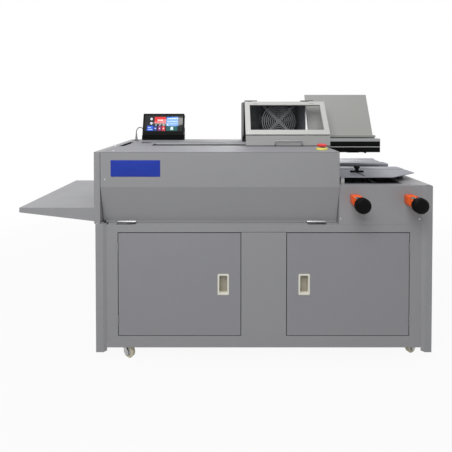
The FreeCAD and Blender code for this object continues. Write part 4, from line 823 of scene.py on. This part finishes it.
def glue_pool(x0, x1, y0, y1, z):
    """On top z + 1 mm * (u^4 + v^4) + 0.4 mm * sin(9u + 2) * cos(7v), over u and v from -1 to 1,
    with a flat underside 3 mm down and both ends drawn in to a point."""
    steps_u, steps_v = 26, 32
    across = np.linspace(-1, 1, steps_u)
    u = np.concatenate([across, across[::-1]])[:, None]
    under = (np.arange(2 * steps_u) >= steps_u)[:, None]
    v = np.concatenate([[-1], np.linspace(-1, 1, steps_v), [1]])[None, :]
    share = np.concatenate([[0], np.ones(steps_v), [0]])[None, :]
    top = z + 0.001 * (u ** 4 + v ** 4) + 0.0004 * np.sin(9 * u + 2) * np.cos(7 * v)
    high = share * np.where(under, z - 0.003, top) + (1 - share) * (z - 0.001)
    x = (x0 + x1) / 2 + u * share * (x1 - x0) / 2
    y = (y0 + y1) / 2 + v * (y1 - y0) / 2 + 0 * u
    return np.stack([x, y, high], -1)


TANK_WALL, ROLLER_GAP, GLUE_DOWN = 0.0063, 0.003, 0.012
tank_low, tank_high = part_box("glue_tank")
roller_low, roller_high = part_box("glue_roller")
wells = (("left", tank_low.x + TANK_WALL, roller_low.x - ROLLER_GAP),
         ("right", roller_high.x + ROLLER_GAP, tank_high.x - TANK_WALL))
for side, x0, x1 in wells:
    pool = glue_pool(x0, x1, tank_low.y + TANK_WALL, tank_high.y - TANK_WALL,
                     tank_high.z - GLUE_DOWN)
    surface(f"{side}_glue", [pool], glue_finish(), "cabinet")

# --- panel cable ----------------------------------------------------------------------------------

LEAD_DIAMETER = 0.0045
route = [place(*point) for point in (
    (-642, 518, 962), (-652, 518, 972), (-668, 518, 969), (-680, 518, 953), (-680, 518, 937))]
line = bpy.data.curves.new("panel_lead", "CURVE")
line.dimensions, line.resolution_u = "3D", 16
line.bevel_depth, line.bevel_resolution = LEAD_DIAMETER / 2, 4
spline = line.splines.new("NURBS")
spline.points.add(len(route) - 1)
for point, at in zip(spline.points, route):
    point.co = (*at, 1)
spline.order_u = 3
spline.use_endpoint_u = True
lead = link("panel_lead", line)
dress(lead, rubber)
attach(lead, "cabinet")
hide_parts("panel_cable")

# --- floor, light and camera ----------------------------------------------------------------------

# the floor takes shadows, is nearly white to the camera, and fades out between these distances
FADE_NEAR, FADE_FAR = 1.4, 3.0
pale = Finish("pale_floor", (0.5, 0.5, 0.5), 0.8)
x, y, _ = pale.position()
seen = pale.ray("Camera").larger(pale.ray("Glossy"))
white = pale.add("ShaderNodeEmission", None, {"Color": (1, 1, 1, 1), "Strength": 1.0})
lifted = pale.add("ShaderNodeMixShader", None,
                  {0: seen * 0.93, 1: pale.principled.outputs[0], 2: white.outputs[0]})
clear = pale.add("ShaderNodeBsdfTransparent")
far = ((x * x + y * y) ** 0.5).smooth(FADE_NEAR, FADE_FAR)
ends = pale.add("ShaderNodeMixShader", None, {0: far, 1: lifted.outputs[0], 2: clear.outputs[0]})
pale.join(pale.tree.nodes["Material Output"].inputs["Surface"], ends.outputs[0])
floor_mesh = bpy.data.meshes.new("floor")
floor_mesh.from_pydata([(-4, -4, 0), (4, -4, 0), (4, 4, 0), (-4, 4, 0)], [], [(0, 1, 2, 3)])
floor = link("floor", floor_mesh)
dress(floor, pale)

# the room is white to the eye, in reflections and through the pane, and lights everything weakly
world = bpy.data.worlds.new("studio")
bpy.context.scene.world = world
world.use_nodes = True
room = Shader(world.node_tree)
ambient = room.tree.nodes["Background"]
room.join(ambient.inputs["Color"], (0.97, 0.98, 1, 1))
room.join(ambient.inputs["Strength"], 0.25)
backdrop = room.add("ShaderNodeBackground", None, {"Color": (1, 1, 1, 1)})
seen = room.ray("Camera").larger(room.ray("Glossy")).larger(room.ray("Transmission"))
blend = room.add("ShaderNodeMixShader", None,
                 {0: seen, 1: ambient.outputs[0], 2: backdrop.outputs[0]})
room.join(room.tree.nodes["World Output"].inputs["Surface"], blend.outputs[0])


def lamp(name, at, look, size, power):
    """A soft square lamp at one point, looking at another."""
    light = bpy.data.lights.new(name, "AREA")
    light.size, light.energy = size, power
    thing = link(name, light)
    thing.location = at
    thing.rotation_mode = "QUATERNION"
    thing.rotation_quaternion = (Vector(at) - Vector(look)).to_track_quat("Z", "Y")


lamp("overhead", at=(0.2, -0.4, 3.2), look=(0, 0, 0.8), size=2.4, power=18)
lamp("front", at=(-0.6, -2.4, 3.0), look=(0, 0, 0.8), size=2.0, power=88)
lamp("rear", at=(0.8, 3.2, 2.2), look=(0, 0, 0.6), size=2.2, power=44)
lamp("right", at=(3.4, 0.2, 1.9), look=(0.8, 0, 0.6), size=2.0, power=20)
lamp("left", at=(-3.6, 0.2, 1.9), look=(-0.8, 0, 0.6), size=2.0, power=24)

# the camera stands before the cabinet's face, a little left of its middle, and looks slightly down
CAMERA_DOWN = 0.85  # degrees
camera = bpy.data.cameras.new("camera")
camera.lens, camera.sensor_width = 25.1, 36
camera.shift_y = -0.25
camera.clip_end = 50
view = link("camera", camera)
view.location = place(-159, -1312, 1081)
view.rotation_euler = (math.radians(90 - CAMERA_DOWN), 0, 0)
bpy.context.scene.camera = view
bpy.context.scene.view_settings.view_transform = "Standard"
